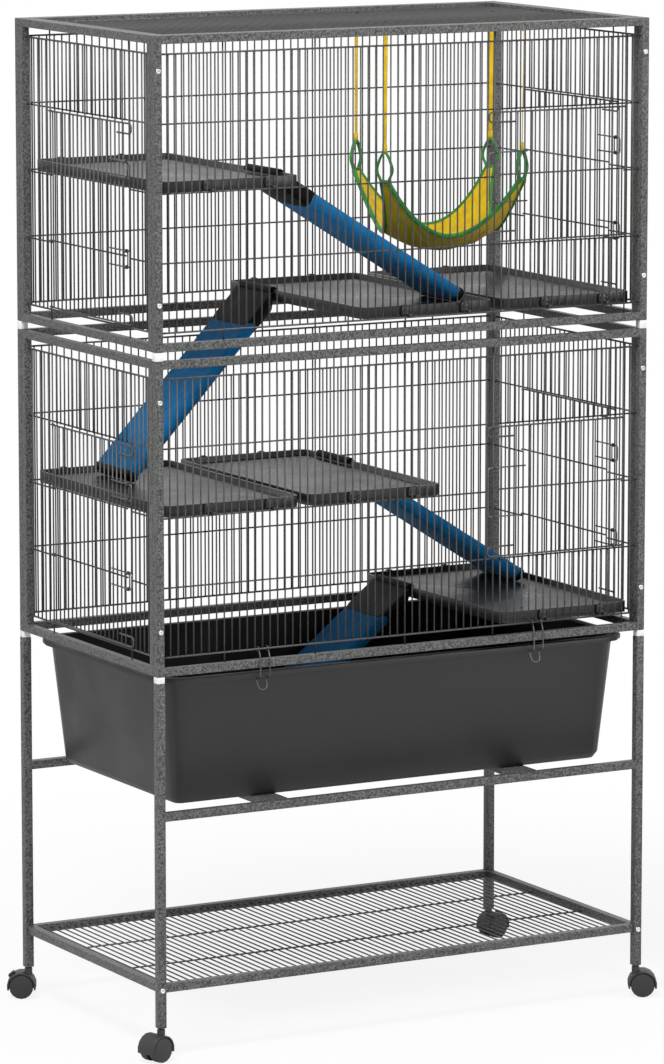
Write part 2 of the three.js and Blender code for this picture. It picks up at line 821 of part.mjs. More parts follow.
const platform_solid = platform();
const upper_rim_high = rimTop(upper_bottom, upper_height, 2);
const upper_rim_low = rimTop(upper_bottom, upper_height, 4);
const lower_rim_high = rimTop(lower_bottom, lower_height, 2);
const lower_rim_low = rimTop(lower_bottom, lower_height, 4);
const platforms = [
  ['platform_upper_left', 0, upper_rim_high],
  ['platform_upper_middle', middle_bays, upper_rim_low],
  ['platform_upper_right', right_bays, upper_rim_low],
  ['platform_lower_left', 0, lower_rim_high],
  ['platform_lower_middle', lower_middle_bays, lower_rim_high],
  ['platform_lower_right', right_bays, lower_rim_low],
];
platforms.forEach(([name, bays, rim]) => {
  placed(cage, name, platform_solid, platform_black, platformLeft(bays), platform_inset_y, rim);
});

// ---------- Ramps ----------
// Drawn along +X from the pivot in the platform's rim, one side at y = 0.
function ramp() {
  const top = ramp_over_pivot;
  const bottom = ramp_over_pivot - ramp_thickness;
  const section = (inset) => {
    const high = top - inset;
    const shoulder = (y, from) => arc(ramp_corner, from, from + 90, ramp_corner_steps)
      .map(([a, b]) => [y + a, high - ramp_corner + b]);
    return outline([
      [inset, bottom + inset],
      [ramp_width - inset, bottom + inset],
      ...shoulder(ramp_width - inset - ramp_corner, 0),
      ...shoulder(inset + ramp_corner, 90),
    ]);
  };
  const deck = slabYZ(section(ramp_cover_proud), ramp_end_start, ramp_length);
  const cover = slabYZ(section(0), ramp_cover_start, ramp_cover_end);
  const end_cut = outline([
    [ramp_end_start - 1, -ramp_end_knee],
    [ramp_end_start, -ramp_end_knee],
    [ramp_end_cut, bottom],
    [ramp_end_cut, bottom - 1],
    [ramp_end_start - 1, bottom - 1],
  ]);
  const hook = outline([
    ...arc(ramp_hook_outer, ramp_hook_from, ramp_hook_to, ramp_hook_steps),
    ...arc(ramp_hook_inner, ramp_hook_from, ramp_hook_to, ramp_hook_steps).reverse(),
  ]);
  const clipped = deck.add(cover).subtract(slabXZ(end_cut, -1, ramp_width + 1));
  return clipped.add(slabXZ(hook, ramp_hook_inset, ramp_width - ramp_hook_inset));
}

// The slope at which the foot of a ramp comes to rest on a floor this far below its pivot.
function rampSlope(drop) {
  const under = ramp_thickness - ramp_over_pivot - ramp_cover_proud;
  const reach = Math.hypot(ramp_length, under);
  return Math.asin((drop - fit_gap) / reach) - Math.atan2(under, ramp_length);
}

const ramp_solid = ramp();
function hangRamp(name, x, y, rim, floor, to_the_left) {
  const pivot = rim - ramp_pivot_drop;
  const slope = rampSlope(pivot - floor);
  const facing = to_the_left ? ramp_solid.mirror([1, 0, 0]) : ramp_solid;
  const mesh = placed(cage, name, facing, ramp_blue, x, y, pivot);
  mesh.rotation.y = to_the_left ? -slope : slope;
}

const lip_centre = platform_lip / 2;
const right_lip = platform_length - lip_centre;
const upper_floor = upper_rim_low - platform_floor_drop;
const lower_high_floor = lower_rim_high - platform_floor_drop;
const lower_low_floor = lower_rim_low - platform_floor_drop;
const tray_floor = tray_bottom + tray_wall;
const upper_hook_x = platformLeft(0) + right_lip;
const storeys_hook_x = platformLeft(middle_bays) + lip_centre;
const lower_hook_x = platformLeft(lower_middle_bays) + right_lip;
const tray_hook_x = platformLeft(right_bays) + lip_centre;
hangRamp('ramp_upper', upper_hook_x, ramp_front_y, upper_rim_high, upper_floor, false);
hangRamp('ramp_storeys', storeys_hook_x, ramp_back_y, upper_rim_low, lower_high_floor, true);
hangRamp('ramp_lower', lower_hook_x, ramp_back_y, lower_rim_high, lower_low_floor, false);
hangRamp('ramp_tray', tray_hook_x, ramp_back_y, lower_rim_low, tray_floor, true);

// ---------- Casters ----------
// Drawn about the leg's axis, the floor at z = 0, the wheels trailing towards +X.
function casterBody() {
  const hood_arc = arc(hood_radius, -hood_drop_angle, 180 + hood_drop_angle, hood_steps);
  const hood = slabXZ(outline(hood_arc), -hood_half_width, hood_half_width);
  const web = hood_web / 2;
  const cavities = [[web, hood_half_width + 1], [-hood_half_width - 1, -web]]
    .map(([y0, y1]) => drumY(hood_radius - hood_wall, y0, y1, wheel_segments));
  const bore = drumY(axle_bore, -web - 1, web + 1, stem_sides);
  const housing_top = caster_height - stem_housing_gap;
  const at_wheel = [caster_trail, 0, wheel_radius];
  const housing = drumZ(stem_housing_radius, wheel_radius, housing_top, stem_sides);
  const stem = drumZ(stem_radius, housing_top - 1, caster_height + stem_bore_depth - 1, stem_sides);
  const shell = hood.translate(at_wheel).add(housing);
  return shell.subtract(joined([...cavities, bore]).translate(at_wheel)).add(stem);
}

function wheelPair() {
  const profile = [
    [0, -wheel_half_width],
    [wheel_radius, -wheel_half_width],
    [wheel_radius, -wheel_inner_face],
    [axle_radius, -wheel_inner_face],
    [axle_radius, wheel_inner_face],
    [wheel_radius, wheel_inner_face],
    [wheel_radius, wheel_half_width],
    [0, wheel_half_width],
  ].map(([r, y]) => new THREE.Vector2(r, y));
  return solidOf(new THREE.LatheGeometry(profile, wheel_segments));
}

function brakeLever() {
  const near = hood_radius + fit_gap;
  const shape = outline([
    [near, -lever_length / 2],
    [near + lever_thickness, -lever_length / 2 + 1],
    [near + lever_thickness, lever_length / 2 - 1],
    [near, lever_length / 2],
  ]);
  return slabXZ(shape, -lever_width / 2, lever_width / 2).rotate([0, -lever_angle, 0]);
}

const leg_centre = stand_tube / 2;
const casters = [
  ['front_left', leg_centre, leg_centre, front_left_swivel, false],
  ['front_right', cage_length - leg_centre, leg_centre, front_right_swivel, false],
  ['back_left', leg_centre, cage_depth - leg_centre, back_left_swivel, true],
  ['back_right', cage_length - leg_centre, cage_depth - leg_centre, back_right_swivel, true],
];
casters.forEach(([corner, x, y, swivel, braked]) => {
  const place = group(`caster_${corner}`, x, y, 0, swivel);
  placed(place, `caster_body_${corner}`, casterBody(), caster_black);
  placed(place, `caster_wheels_${corner}`, wheelPair(), caster_black, caster_trail, 0, wheel_radius);
  if (!braked) return;
  placed(place, `brake_lever_${corner}`, brakeLever(), caster_black, caster_trail, 0, wheel_radius);
});

// ---------- Hammock ----------
// A point of the cloth, for s and t from -1 to 1 across its two sides.
function clothPoint(s, t) {
  const across = 1 - s * s;
  const along = 1 - t * t;
  const x = s * hammock_half_side * (1 - hammock_edge_draw * along);
  const y = t * hammock_half_side * (1 - hammock_edge_draw * across);
  const sag = hammock_edge_sag * (across + along) - hammock_middle_relief * across * along;
  const crease = Math.cos(3 * Math.PI * (s * s - t * t));
  const fold = hammock_fold_depth * 4 * Math.abs(s * t) * across * along * crease;
  return new THREE.Vector3(x, y, fold - sag);
}

function clothNormal(s, t) {
  const step = 0.01;
  const by_s = clothPoint(s + step, t).sub(clothPoint(s - step, t));
  const by_t = clothPoint(s, t + step).sub(clothPoint(s, t - step));
  return by_s.cross(by_t).normalize();
}

function hammockCloth() {
  const row = hammock_cells + 1;
  const under = row * row;
  const parameter = (k) => 2 * k / hammock_cells - 1;
  const positions = [];
  [1, -1].forEach((side) => {
    for (let k = 0; k < under; k += 1) {
      const s = parameter(k % row);
      const t = parameter(Math.floor(k / row));
      const half = side * hammock_cloth / 2;
      positions.push(...clothPoint(s, t).addScaledVector(clothNormal(s, t), half).toArray());
    }
  });
  const index = [];
  const edge = (from, to) => index.push(from, under + from, under + to, from, under + to, to);
  const end = hammock_cells * row;
  for (let j = 0; j < hammock_cells; j += 1) {
    for (let i = 0; i < hammock_cells; i += 1) {
      const a = j * row + i;
      const [b, c, d] = [a + 1, a + row + 1, a + row];
      index.push(a, b, c, a, c, d, under + a, under + c, under + b, under + a, under + d, under + c);
    }
    edge(j, j + 1);
    edge(end + j + 1, end + j);
    edge((j + 1) * row, j * row);
    edge(j * row + hammock_cells, (j + 1) * row + hammock_cells);
  }
  const geometry = new THREE.BufferGeometry();
  geometry.setAttribute('position', new THREE.Float32BufferAttribute(positions, 3));
  geometry.setIndex(index);
  return solidOf(geometry);
}

// A strap with its hanger above and its sewn loop below, from the top of the cage downwards.
function hammockStrap(wire_shift) {
  const crown = wire_size / 2 + hanger_gap + hanger_wire / 2 - wire_plane;
  const leg = wire_size / 2 + hanger_gap + hanger_wire / 2;
  const loop_top = loop_height - loop_lap - hammock_corner_drop;
  const loop_middle = loop_top - loop_height / 2;
  const strap_half = strap_width / 2;
  const hanger_line = [[-leg, -hanger_drop], [-leg, crown], [leg, crown], [leg, crown - hanger_tip]];
  const hanger = slabXZ(bentWire(hanger_line, 2, hanger_wire, 1), -hanger_width / 2, hanger_width / 2);
  const strap_line = [[0, loop_top - loop_tape / 2], [0, loop_top + 2], [wire_shift - leg, 2 - hanger_drop]];
  const strap = bentWire(strap_line, 1, strap_thickness, 1);
  const ellipse = (inset) => outline(arc(1, 0, 360 * (1 - 1 / loop_sides), loop_sides - 1)
    .map(([a, b]) => [a * (loop_width / 2 - inset), loop_middle + b * (loop_height / 2 - inset)]));
  const loop = ellipse(0);
  loop.holes.push(ellipse(loop_tape));
  return joined([
    hanger.translate([wire_shift, 0, 0]),
    slabXZ(strap, -strap_half, strap_half),
    slabXZ(loop, -strap_half, strap_half),
  ]);
}

function hammock() {
  const corners = [[-1, -1], [1, -1], [1, 1], [-1, 1]];
  const turn = THREE.MathUtils.degToRad(hammock_turn);
  const cloth = hammockCloth().rotate([0, 0, hammock_turn]).translate([0, 0, -hammock_corner_drop]);
  const straps = corners.map(([s, t], number) => {
    const x = hammock_half_side * (s * Math.cos(turn) - t * Math.sin(turn));
    const y = hammock_half_side * (s * Math.sin(turn) + t * Math.cos(turn));
    const top_pitch = pitchOf(top_length, top_wire_count);
    const wire_x = 2 * cage_tube + fit_gap + hammock_hook_wires[number] * top_pitch;
    return hammockStrap(wire_x - hammock_x - x).translate([x, y, 0]);
  });
  return joined([cloth, ...straps]);
}

placed(cage, 'hammock', hammock(), hammock_yellow, hammock_x, hammock_y, upper_top);

export default cage;
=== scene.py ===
import math
from collections import namedtuple

import bmesh
import bpy
from mathutils import Matrix, Vector, noise


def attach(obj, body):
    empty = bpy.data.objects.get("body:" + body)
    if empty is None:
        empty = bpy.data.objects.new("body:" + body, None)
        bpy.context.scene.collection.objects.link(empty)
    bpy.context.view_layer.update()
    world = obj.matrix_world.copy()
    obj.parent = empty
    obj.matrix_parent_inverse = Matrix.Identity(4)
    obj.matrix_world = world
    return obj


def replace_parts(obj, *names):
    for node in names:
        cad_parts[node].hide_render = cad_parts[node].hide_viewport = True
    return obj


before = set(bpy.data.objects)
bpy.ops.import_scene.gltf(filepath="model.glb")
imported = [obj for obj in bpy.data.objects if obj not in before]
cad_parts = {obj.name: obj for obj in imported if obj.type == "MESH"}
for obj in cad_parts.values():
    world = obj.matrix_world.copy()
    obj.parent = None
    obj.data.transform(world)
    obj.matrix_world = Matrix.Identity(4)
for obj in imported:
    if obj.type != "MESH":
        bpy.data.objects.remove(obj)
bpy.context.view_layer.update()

# ---------- Sizes of the cage in millimetres, as its solids have them ----------
LENGTH, DEPTH = 787.0, 431.0
TUBE = 11.5
FIT = 0.3
UPPER_HEIGHT, LOWER_HEIGHT = 430.0, 436.0
LEG_TOP = 530.5
LOWER_BOTTOM = LEG_TOP + 9.4
LOWER_TOP = LOWER_BOTTOM + LOWER_HEIGHT
UPPER_BOTTOM = LOWER_TOP + 12.2
UPPER_TOP = UPPER_BOTTOM + UPPER_HEIGHT
SIDE_WIDTH = DEPTH - 2 * (TUBE + FIT)
TOP_LENGTH = LENGTH - 2 * (TUBE + FIT)
LONG_WIRES, SHORT_WIRES, TOP_WIRES, SHELF_WIRES = 63, 29, 61, 61
LONG_PITCH = (LENGTH - 2 * TUBE) / (LONG_WIRES + 1)
WIRE_Y = TUBE / 2
CROSS_Y = WIRE_Y + 2.4
DOOR_Y = WIRE_Y - 2.6
DOOR_MIDDLE_Y = DOOR_Y + 2.4
LATCH_Y = DOOR_Y - 2.8
WIRE, CROSS, EDGE, RAIL = 1.1, 1.2, 1.4, 1.3
EMBED = 1.6
ROW_MARGIN = 14.0
SUPPORT_BAYS = 12
RAIL_OFFSET, DOOR_WIRE_OFFSET = 4.0, 3.0
HAIRPIN_DROP, HAIRPIN_BACK, HAIRPIN_PAST, HAIRPIN_BEND = 14.0, 42.0, 10.5, 6.5
HINGE_EYE, HINGE_EYE_WIRE = 2.45, 0.95
LATCH_WIRE, LATCH_BEHIND, LATCH_PAST, LATCH_BEND = 1.1, 50.0, 11.5, 4.5
TALL_LATCH, LOW_LATCH, LATCH_RAISED = 72.0, 24.5, 28.0
LATCH_EYE, LATCH_EYE_WIRE, LATCH_EYE_STEP = 2.1, 0.7, 1.4
LATCH_TAIL, LATCH_TAIL_WIRE, LATCH_BAR, LATCH_BAR_WIRE = 2.0, 1.0, 2.2, 0.9
RAIL_START, MIDDLE_START, MIDDLE_PAST = 1.8, 2.4, 2.2
ROOT = "cage_and_stand"


def srgb(r, g, b):
    """A colour written as 0 to 255, as the shader's linear colour."""
    def linear(c):
        c /= 255
        return c / 12.92 if c <= 0.04045 else ((c + 0.055) / 1.055) ** 2.4
    return (linear(r), linear(g), linear(b), 1.0)


# ---------- Materials ----------
class Shader:
    """A node material round one Principled shader, patterned by the piece's own coordinates."""

    def __init__(self, name, rough, metallic=0.0, specular=0.5, coords="Object"):
        self.material = bpy.data.materials.new(name)
        self.material.use_nodes = True
        self.tree = self.material.node_tree
        self.shader = self.tree.nodes["Principled BSDF"]
        self.shader.inputs["Roughness"].default_value = rough
        self.shader.inputs["Metallic"].default_value = metallic
        self.shader.inputs["Specular IOR Level"].default_value = specular
        self.coords = self.tree.nodes.new("ShaderNodeTexCoord").outputs[coords]

    def node(self, kind, links=(), **settings):
        made = self.tree.nodes.new("ShaderNode" + kind)
        for key, value in settings.items():
            setattr(made, key, value)
        for socket, source in dict(links).items():
            if isinstance(source, bpy.types.NodeSocket):
                self.tree.links.new(source, made.inputs[socket])
            else:
                made.inputs[socket].default_value = source
        return made

    def noise(self, scale, detail=4.0, rough=0.55):
        links = {"Vector": self.coords, "Scale": scale, "Detail": detail, "Roughness": rough}
        return self.node("TexNoise", links).outputs["Fac"]

    def cells(self, scale, smooth=0.6):
        links = {"Vector": self.coords, "Scale": scale, "Smoothness": smooth}
        return self.node("TexVoronoi", links, feature="SMOOTH_F1").outputs["Distance"]

    def bands(self, scale, direction):
        links = {"Vector": self.coords, "Scale": scale}
        return self.node("TexWave", links, bands_direction=direction).outputs["Fac"]

    def ranged(self, value, low, high, start=0.3, end=0.7):
        links = {"Value": value, "From Min": start, "From Max": end, "To Min": low, "To Max": high}
        return self.node("MapRange", links).outputs["Result"]

    def math(self, operation, a, b):
        return self.node("Math", {0: a, 1: b}, operation=operation).outputs[0]

    def vectors(self, operation, a, b):
        return self.node("VectorMath", {0: a, 1: b}, operation=operation)

    def mixed(self, factor, first, second):
        """A mix of two colours; the mix node keeps its colour sockets at 6 and 7."""
        return self.node("Mix", {0: factor, 6: first, 7: second}, data_type="RGBA").outputs[2]

    def colour(self, source):
        self.tree.links.new(source, self.shader.inputs["Base Color"])
        return self

    def roughness(self, source):
        self.tree.links.new(source, self.shader.inputs["Roughness"])
        return self

    def bump(self, height, depth):
        links = {"Height": height, "Distance": depth, "Strength": 1.0}
        made = self.node("Bump", links)
        old = self.shader.inputs["Normal"]
        if old.is_linked:
            self.tree.links.new(old.links[0].from_socket, made.inputs["Normal"])
        self.tree.links.new(made.outputs["Normal"], old)
        return self


def hammertone(name, dark, light, metallic):
    """Hammered paint: small dimples with lighter crowns, and faint wear over longer stretches."""
    s = Shader(name, 0.42, metallic)
    cells = s.cells(330.0)
    speck = s.noise(430.0, 3.0)
    wear = s.noise(9.0, 5.0)
    base = s.mixed(s.ranged(cells, 0.0, 1.0, 0.15, 0.6), light, dark)
    base = s.mixed(s.ranged(speck, 0.0, 0.5, 0.45, 0.7), base, srgb(142, 144, 142))
    s.colour(s.mixed(s.ranged(wear, 0.0, 0.25), base, dark))
    s.roughness(s.ranged(speck, 0.32, 0.55))
    return s.bump(cells, 0.00035).bump(speck, 0.00008).material


def plated(name, dark, light, rough):
    """Drawn wire: fine lengthwise streaks, slightly duller in patches."""
    s = Shader(name, rough, 0.85)
    streak = s.noise(700.0, 2.0)
    patch = s.noise(30.0, 4.0)
    s.colour(s.mixed(s.ranged(patch, 0.0, 1.0), dark, light))
    s.roughness(s.ranged(streak, rough - 0.08, rough + 0.15))
    return s.bump(streak, 0.00003).material


def coated_wire(name):
    """Wire under the same dark paint as the tubes, thinner and smoother."""
    s = Shader(name, 0.45, 0.35)
    mottle = s.noise(260.0, 4.0)
    s.colour(s.mixed(s.ranged(mottle, 0.0, 1.0), srgb(56, 56, 56), srgb(86, 86, 85)))
    s.roughness(s.ranged(mottle, 0.36, 0.55))
    return s.bump(mottle, 0.00006).material


def moulded(name, dark, light, rough, grain=1500.0, depth=0.00006, specular=0.5, inside=None):
    """Moulded plastic with fine grain and faint flow marks; inside is a painted shade colour for walls
    that face inwards, which also get less specular.
    """
    s = Shader(name, rough, 0.0, specular)
    fine = s.noise(grain, 2.0)
    flow = s.noise(14.0, 4.0)
    base = s.mixed(s.ranged(flow, 0.0, 1.0), dark, light)
    # Painted shade: faces that turn inwards take the dark inside colour and a lower specular level.
    if inside:
        level = s.vectors("MULTIPLY", s.coords, (1.0, 1.0, 0.0)).outputs[0]
        outwards = s.vectors("ADD", level, (0.0, 0.0, -0.05)).outputs[0]
        facing = s.tree.nodes.new("ShaderNodeTexCoord").outputs["Normal"]
        side = s.vectors("DOT_PRODUCT", outwards, facing).outputs["Value"]
        inward_painted_shade = s.ranged(side, 1.0, 0.0, -0.02, -0.005)
        base = s.mixed(inward_painted_shade, base, inside)
        dulled = s.ranged(inward_painted_shade, specular, 0.08, 0.0, 1.0)
        s.tree.links.new(dulled, s.shader.inputs["Specular IOR Level"])
    s.colour(base)
    s.roughness(s.ranged(flow, rough - 0.06, rough + 0.08))
    return s.bump(fine, depth).material


def woven(name, dark, light, pitch, coords="Object", sheen=0.3):
    """Plain weave: threads over and under at the given pitch, with uneven dye."""
    s = Shader(name, 0.85, 0.0, 0.25, coords)
    scale = 0.314 / pitch
    over = s.bands(scale, "X")
    under = s.bands(scale, "Y")
    weave = s.math("MULTIPLY", over, under)
    dye = s.noise(60.0, 5.0)
    base = s.mixed(s.ranged(dye, 0.0, 1.0), dark, light)
    s.colour(s.mixed(s.ranged(weave, 0.0, 0.25, 0.0, 1.0), base, dark))
    s.shader.inputs["Sheen Weight"].default_value = sheen
    return s.bump(weave, pitch * 0.25).bump(dye, 0.0004).material


TUBE_PAINT = hammertone("hammertone_tube", srgb(48, 49, 48), srgb(106, 108, 106), 0.1)
STAND_PAINT = hammertone("hammertone_stand", srgb(48, 49, 48), srgb(106, 108, 106), 0.1)
WIRE_PAINT = coated_wire("coated_wire")
BARE_WIRE = plated("plated_wire", srgb(74, 74, 76), srgb(118, 118, 120), 0.35)
ZINC = plated("zinc_screw", srgb(190, 190, 190), srgb(235, 235, 235), 0.3)
PLUG = moulded("white_plug_plastic", srgb(226, 226, 222), srgb(242, 242, 240), 0.45)
# The tray's inside colour is painted shade on its inward walls.
TRAY = moulded(
    "tray_plastic", srgb(28, 28, 28), srgb(36, 36, 36), 0.46, 1100.0, 0.00009, inside=srgb(9, 9, 9)
)
PLATFORM = moulded("platform_plastic", srgb(30, 30, 31), srgb(40, 40, 40), 0.3, 900.0, 0.00005)
RAMP_BLACK = moulded("ramp_end_plastic", srgb(5, 5, 6), srgb(10, 10, 11), 0.55, specular=0.12)
CASTER = moulded("caster_plastic", srgb(34, 34, 34), srgb(46, 46, 45), 0.5, 800.0, 0.00012)
WHEEL = moulded("wheel_plastic", srgb(32, 32, 32), srgb(42, 42, 42), 0.45)
RAMP_BLUE = woven("ramp_cover_cloth", srgb(0, 100, 158), srgb(0, 122, 182), 0.0016, sheen=0.08)
CLOTH = woven("hammock_cloth", srgb(214, 176, 0), srgb(244, 208, 0), 0.0011, "UV", 0.15)
TAPE = woven("green_binding", srgb(30, 118, 46), srgb(64, 160, 66), 0.0009)
STRAP = woven("strap_webbing", srgb(206, 168, 0), srgb(238, 200, 6), 0.0011)


# ---------- Forms: meshes gathered in millimetres and placed like the solids ----------
class Form:
    def __init__(self):
        self.points = []
        self.faces = []
        self.smooth = []

    def add(self, points, faces, smooth=True):
        start = len(self.points)
        self.points += [Vector(p) for p in points]
        self.faces += [[start + i for i in face] for face in faces]
        self.smooth += [smooth] * len(faces)

    def loft(self, sections, closed=False, smooth=True):
        """Skins rings of the same number of points, with flat ends unless closed."""
        n = len(sections[0])
        points = [p for section in sections for p in section]
        pairs = len(sections) if closed else len(sections) - 1
        faces = []
        for k in range(pairs):
            a, b = k * n, (k + 1) % len(sections) * n
            faces += [[a + i, a + (i + 1) % n, b + (i + 1) % n, b + i] for i in range(n)]
        self.add(points, faces, smooth)
        if not closed:
            end = (len(sections) - 1) * n
            start = len(self.points) - len(points)
            for ring in (list(range(n))[::-1], [end + i for i in range(n)]):
                self.faces.append([start + i for i in ring])
                self.smooth.append(False)

    def tube(self, line, radius, sides=8, closed=False, flat=1.0, side=None):
        """A wire along a line of points; flat is its second half width over the first."""
        line = [Vector(p) for p in line]
        n = len(line)
        across = None
        sections = []
        for i, p in enumerate(line):
            before = line[i - 1] if i or closed else line[i]
            after = line[(i + 1) % n] if i < n - 1 or closed else line[i]
            along = (after - before).normalized()
            if across is None:
                across = Vector(side) if side else along.orthogonal()
            across = (across - along * across.dot(along)).normalized()
            up = along.cross(across)
            ring = []
            for k in range(sides):
                turn = 2 * math.pi * (k + 0.5) / sides
                wide, tall = radius * math.cos(turn), radius * flat * math.sin(turn)
                ring.append(p + across * wide + up * tall)
            sections.append(ring)
        self.loft(sections, closed)

    def ring(self, centre, axis, radius, wire, steps=16, sides=6):
        """A closed loop of wire about an axis."""
        axis = Vector(axis).normalized()
        u = axis.orthogonal().normalized()
        v = axis.cross(u)
        turns = [2 * math.pi * k / steps for k in range(steps)]
        line = [Vector(centre) + radius * (u * math.cos(a) + v * math.sin(a)) for a in turns]
        self.tube(line, wire, sides, True)

    def lathe(self, centre, axis, profile, steps=20):
        """A turned piece: profile gives radius and height along the axis from the centre."""
        axis = Vector(axis).normalized()
        u = axis.orthogonal().normalized()
        v = axis.cross(u)
        sections = []
        for radius, height in profile:
            radius = max(radius, 0.01)
            turns = [2 * math.pi * k / steps for k in range(steps)]
            sections.append([
                Vector(centre) + axis * height + radius * (u * math.cos(a) + v * math.sin(a))
                for a in turns
            ])
        self.loft(sections)

    def box(self, low, high):
        (x0, y0, _), (x1, y1, _) = low, high
        rings = [[(x0, y0, z), (x1, y0, z), (x1, y1, z), (x0, y1, z)] for z in (low[2], high[2])]
        self.loft(rings, smooth=False)

    def frame(self, width, height, depth, bar):
        """An open rectangle of bars in the XZ plane, from y = 0 inwards."""
        def corners(inset):
            right, top = width - inset, height - inset
            return [(inset, inset), (right, inset), (right, top), (inset, top)]
        points = [(x, y, z) for y in (0, depth) for inset in (0, bar) for x, z in corners(inset)]
        faces = []
        for i in range(4):
            j = (i + 1) % 4
            faces += [[i, j, 4 + j, 4 + i], [8 + j, 8 + i, 12 + i, 12 + j]]
            faces += [[j, i, 8 + i, 8 + j], [4 + i, 4 + j, 12 + j, 12 + i]]
        self.add(points, faces, False)

    def make(self, name, body, material, slot, place=None, bevel=0.0):
        place = place or placed(0, 0, 0)
        mesh = bpy.data.meshes.new(name)
        mesh.from_pydata([place @ p for p in self.points], [], self.faces)
        mesh.polygons.foreach_set("use_smooth", self.smooth)
        tidy = bmesh.new()
        tidy.from_mesh(mesh)
        bmesh.ops.recalc_face_normals(tidy, faces=tidy.faces)
        tidy.to_mesh(mesh)
        tidy.free()
        mesh.materials.append(material)
        made = bpy.data.objects.new(name, mesh)
        bpy.context.scene.collection.objects.link(made)
        if bevel:
            rounded(made, bevel, 30)
        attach(made, body)
        return made


def rounded(piece, bevel, limit):
    """Rounds the edges of a piece where its faces turn by more than the limit in degrees."""
    rounding = piece.modifiers.new("rounded_edges", "BEVEL")
    rounding.width = bevel / 1000
    rounding.segments = 2
    rounding.limit_method = "ANGLE"
    rounding.angle_limit = math.radians(limit)


def placed(x, y, z, turn_z=0.0, turn_x=0.0, turn_y=0.0):
    """Where a form drawn in millimetres from the cage's left front foot goes, in metres."""
    turn = Matrix.Rotation(math.radians(turn_z), 4, "Z")
    turn = turn @ Matrix.Rotation(math.radians(turn_y), 4, "Y")
    turn = turn @ Matrix.Rotation(math.radians(turn_x), 4, "X")
    spot = Matrix.Translation((x - LENGTH / 2, y - DEPTH / 2, z))
    return Matrix.Scale(0.001, 4) @ spot @ turn


def bent(points, radius, steps=5):
    """A line through the points with each corner rounded."""
    points = [Vector(p) for p in points]
    out = [points[0]]
    for a, b, c in zip(points, points[1:], points[2:]):
        u, v = (a - b), (c - b)
        reach = min(radius / math.tan(u.angle(v) / 2), u.length * 0.49, v.length * 0.49)
        p, q = b + u.normalized() * reach, b + v.normalized() * reach
        for k in range(steps + 1):
            t = k / steps
            out.append((1 - t) ** 2 * p + 2 * t * (1 - t) * b + t * t * q)
    return out + [points[-1]]


# ---------- Grille panels, doors and latches ----------
def row_heights(height):
    top = height - TUBE - ROW_MARGIN
    step = (top - TUBE - ROW_MARGIN) / 4
    return [top - row * step for row in range(5)]


def latch_eyes(wires, u, z, prong, barred):
    """Two loops bent round the latch wires, each with a short tail to the edge wire, or a bar too."""
    for end in (z - prong, z + prong):
        for du in (-LATCH_EYE_STEP, 0.0, LATCH_EYE_STEP):
            wires.ring((u + du, LATCH_Y, end), (1, 0, 0), LATCH_EYE, LATCH_EYE_WIRE)
        wires.tube([(u, LATCH_Y + LATCH_TAIL, end), (u, WIRE_Y, end)], LATCH_TAIL_WIRE)
    if barred:
        y = LATCH_Y + LATCH_BAR
        wires.tube([(u, y, z - prong), (u, y, z + prong)], LATCH_BAR_WIRE)


def panel(node, place, width, height, count, door):
    """A framed grille with rows of cross wires, open where its door is."""
    tubes = Form()
    tubes.frame(width, height, TUBE, TUBE)
    shown = tubes.make(node + "_tubes", ROOT, TUBE_PAINT, "wire_paint", place, 0.9)
    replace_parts(shown, node)
    pitch = (width - 2 * TUBE) / (count + 1)
    rows = row_heights(height)
    left, right = TUBE - EMBED, width - TUBE + EMBED
    wires = Form()
    low, high = sorted((door.hinge, door.free)) if door else (0, 0)
    for row, z in enumerate(rows):
        if row in (0, 4):
            wires.tube([(left, WIRE_Y, z), (right, WIRE_Y, z)], EDGE)
        elif door and 1 < row < door.lowest_row:
            wires.tube([(left, CROSS_Y, z), (TUBE + low * pitch + WIRE, CROSS_Y, z)], CROSS)
            wires.tube([(TUBE + high * pitch - WIRE, CROSS_Y, z), (right, CROSS_Y, z)], CROSS)
        else:
            wires.tube([(left, CROSS_Y, z), (right, CROSS_Y, z)], CROSS)
    first_support = ((count + 1) // 2) % SUPPORT_BAYS
    for n in range(1, count + 1):
        u = TUBE + n * pitch
        supported = count > 36 and n % SUPPORT_BAYS == first_support
        if low < n < high:
            wires.tube([(u, WIRE_Y, rows[1] - 1), (u, WIRE_Y, rows[0])], WIRE)
            if door.lowest_row < 4:
                wires.tube([(u, WIRE_Y, rows[4]), (u, WIRE_Y, rows[door.lowest_row] + 1)], WIRE)
        elif supported or n in (low, high):
            wires.tube([(u, WIRE_Y, TUBE - EMBED), (u, WIRE_Y, height - TUBE + EMBED)], WIRE)
        else:
            wires.tube([(u, WIRE_Y, rows[4]), (u, WIRE_Y, rows[0])], WIRE)
    if door:
        for z, prong in latches_of(door, rows):
            latch_eyes(wires, TUBE + door.free * pitch, z, prong, door.latches == 2)
    wires.make(node + "_wires", ROOT, WIRE_PAINT, "wire_paint", place)


def latches_of(door, rows):
    """Height and half spread of each latch: one tall bow on a front door, two low on a side door."""
    if door.latches == 1:
        return [(rows[2], (TALL_LATCH - 2 * LATCH_WIRE) / 2)]
    spread = (LOW_LATCH - 2 * LATCH_WIRE) / 2
    return [(rows[2] + LATCH_RAISED, spread), (rows[3], spread)]


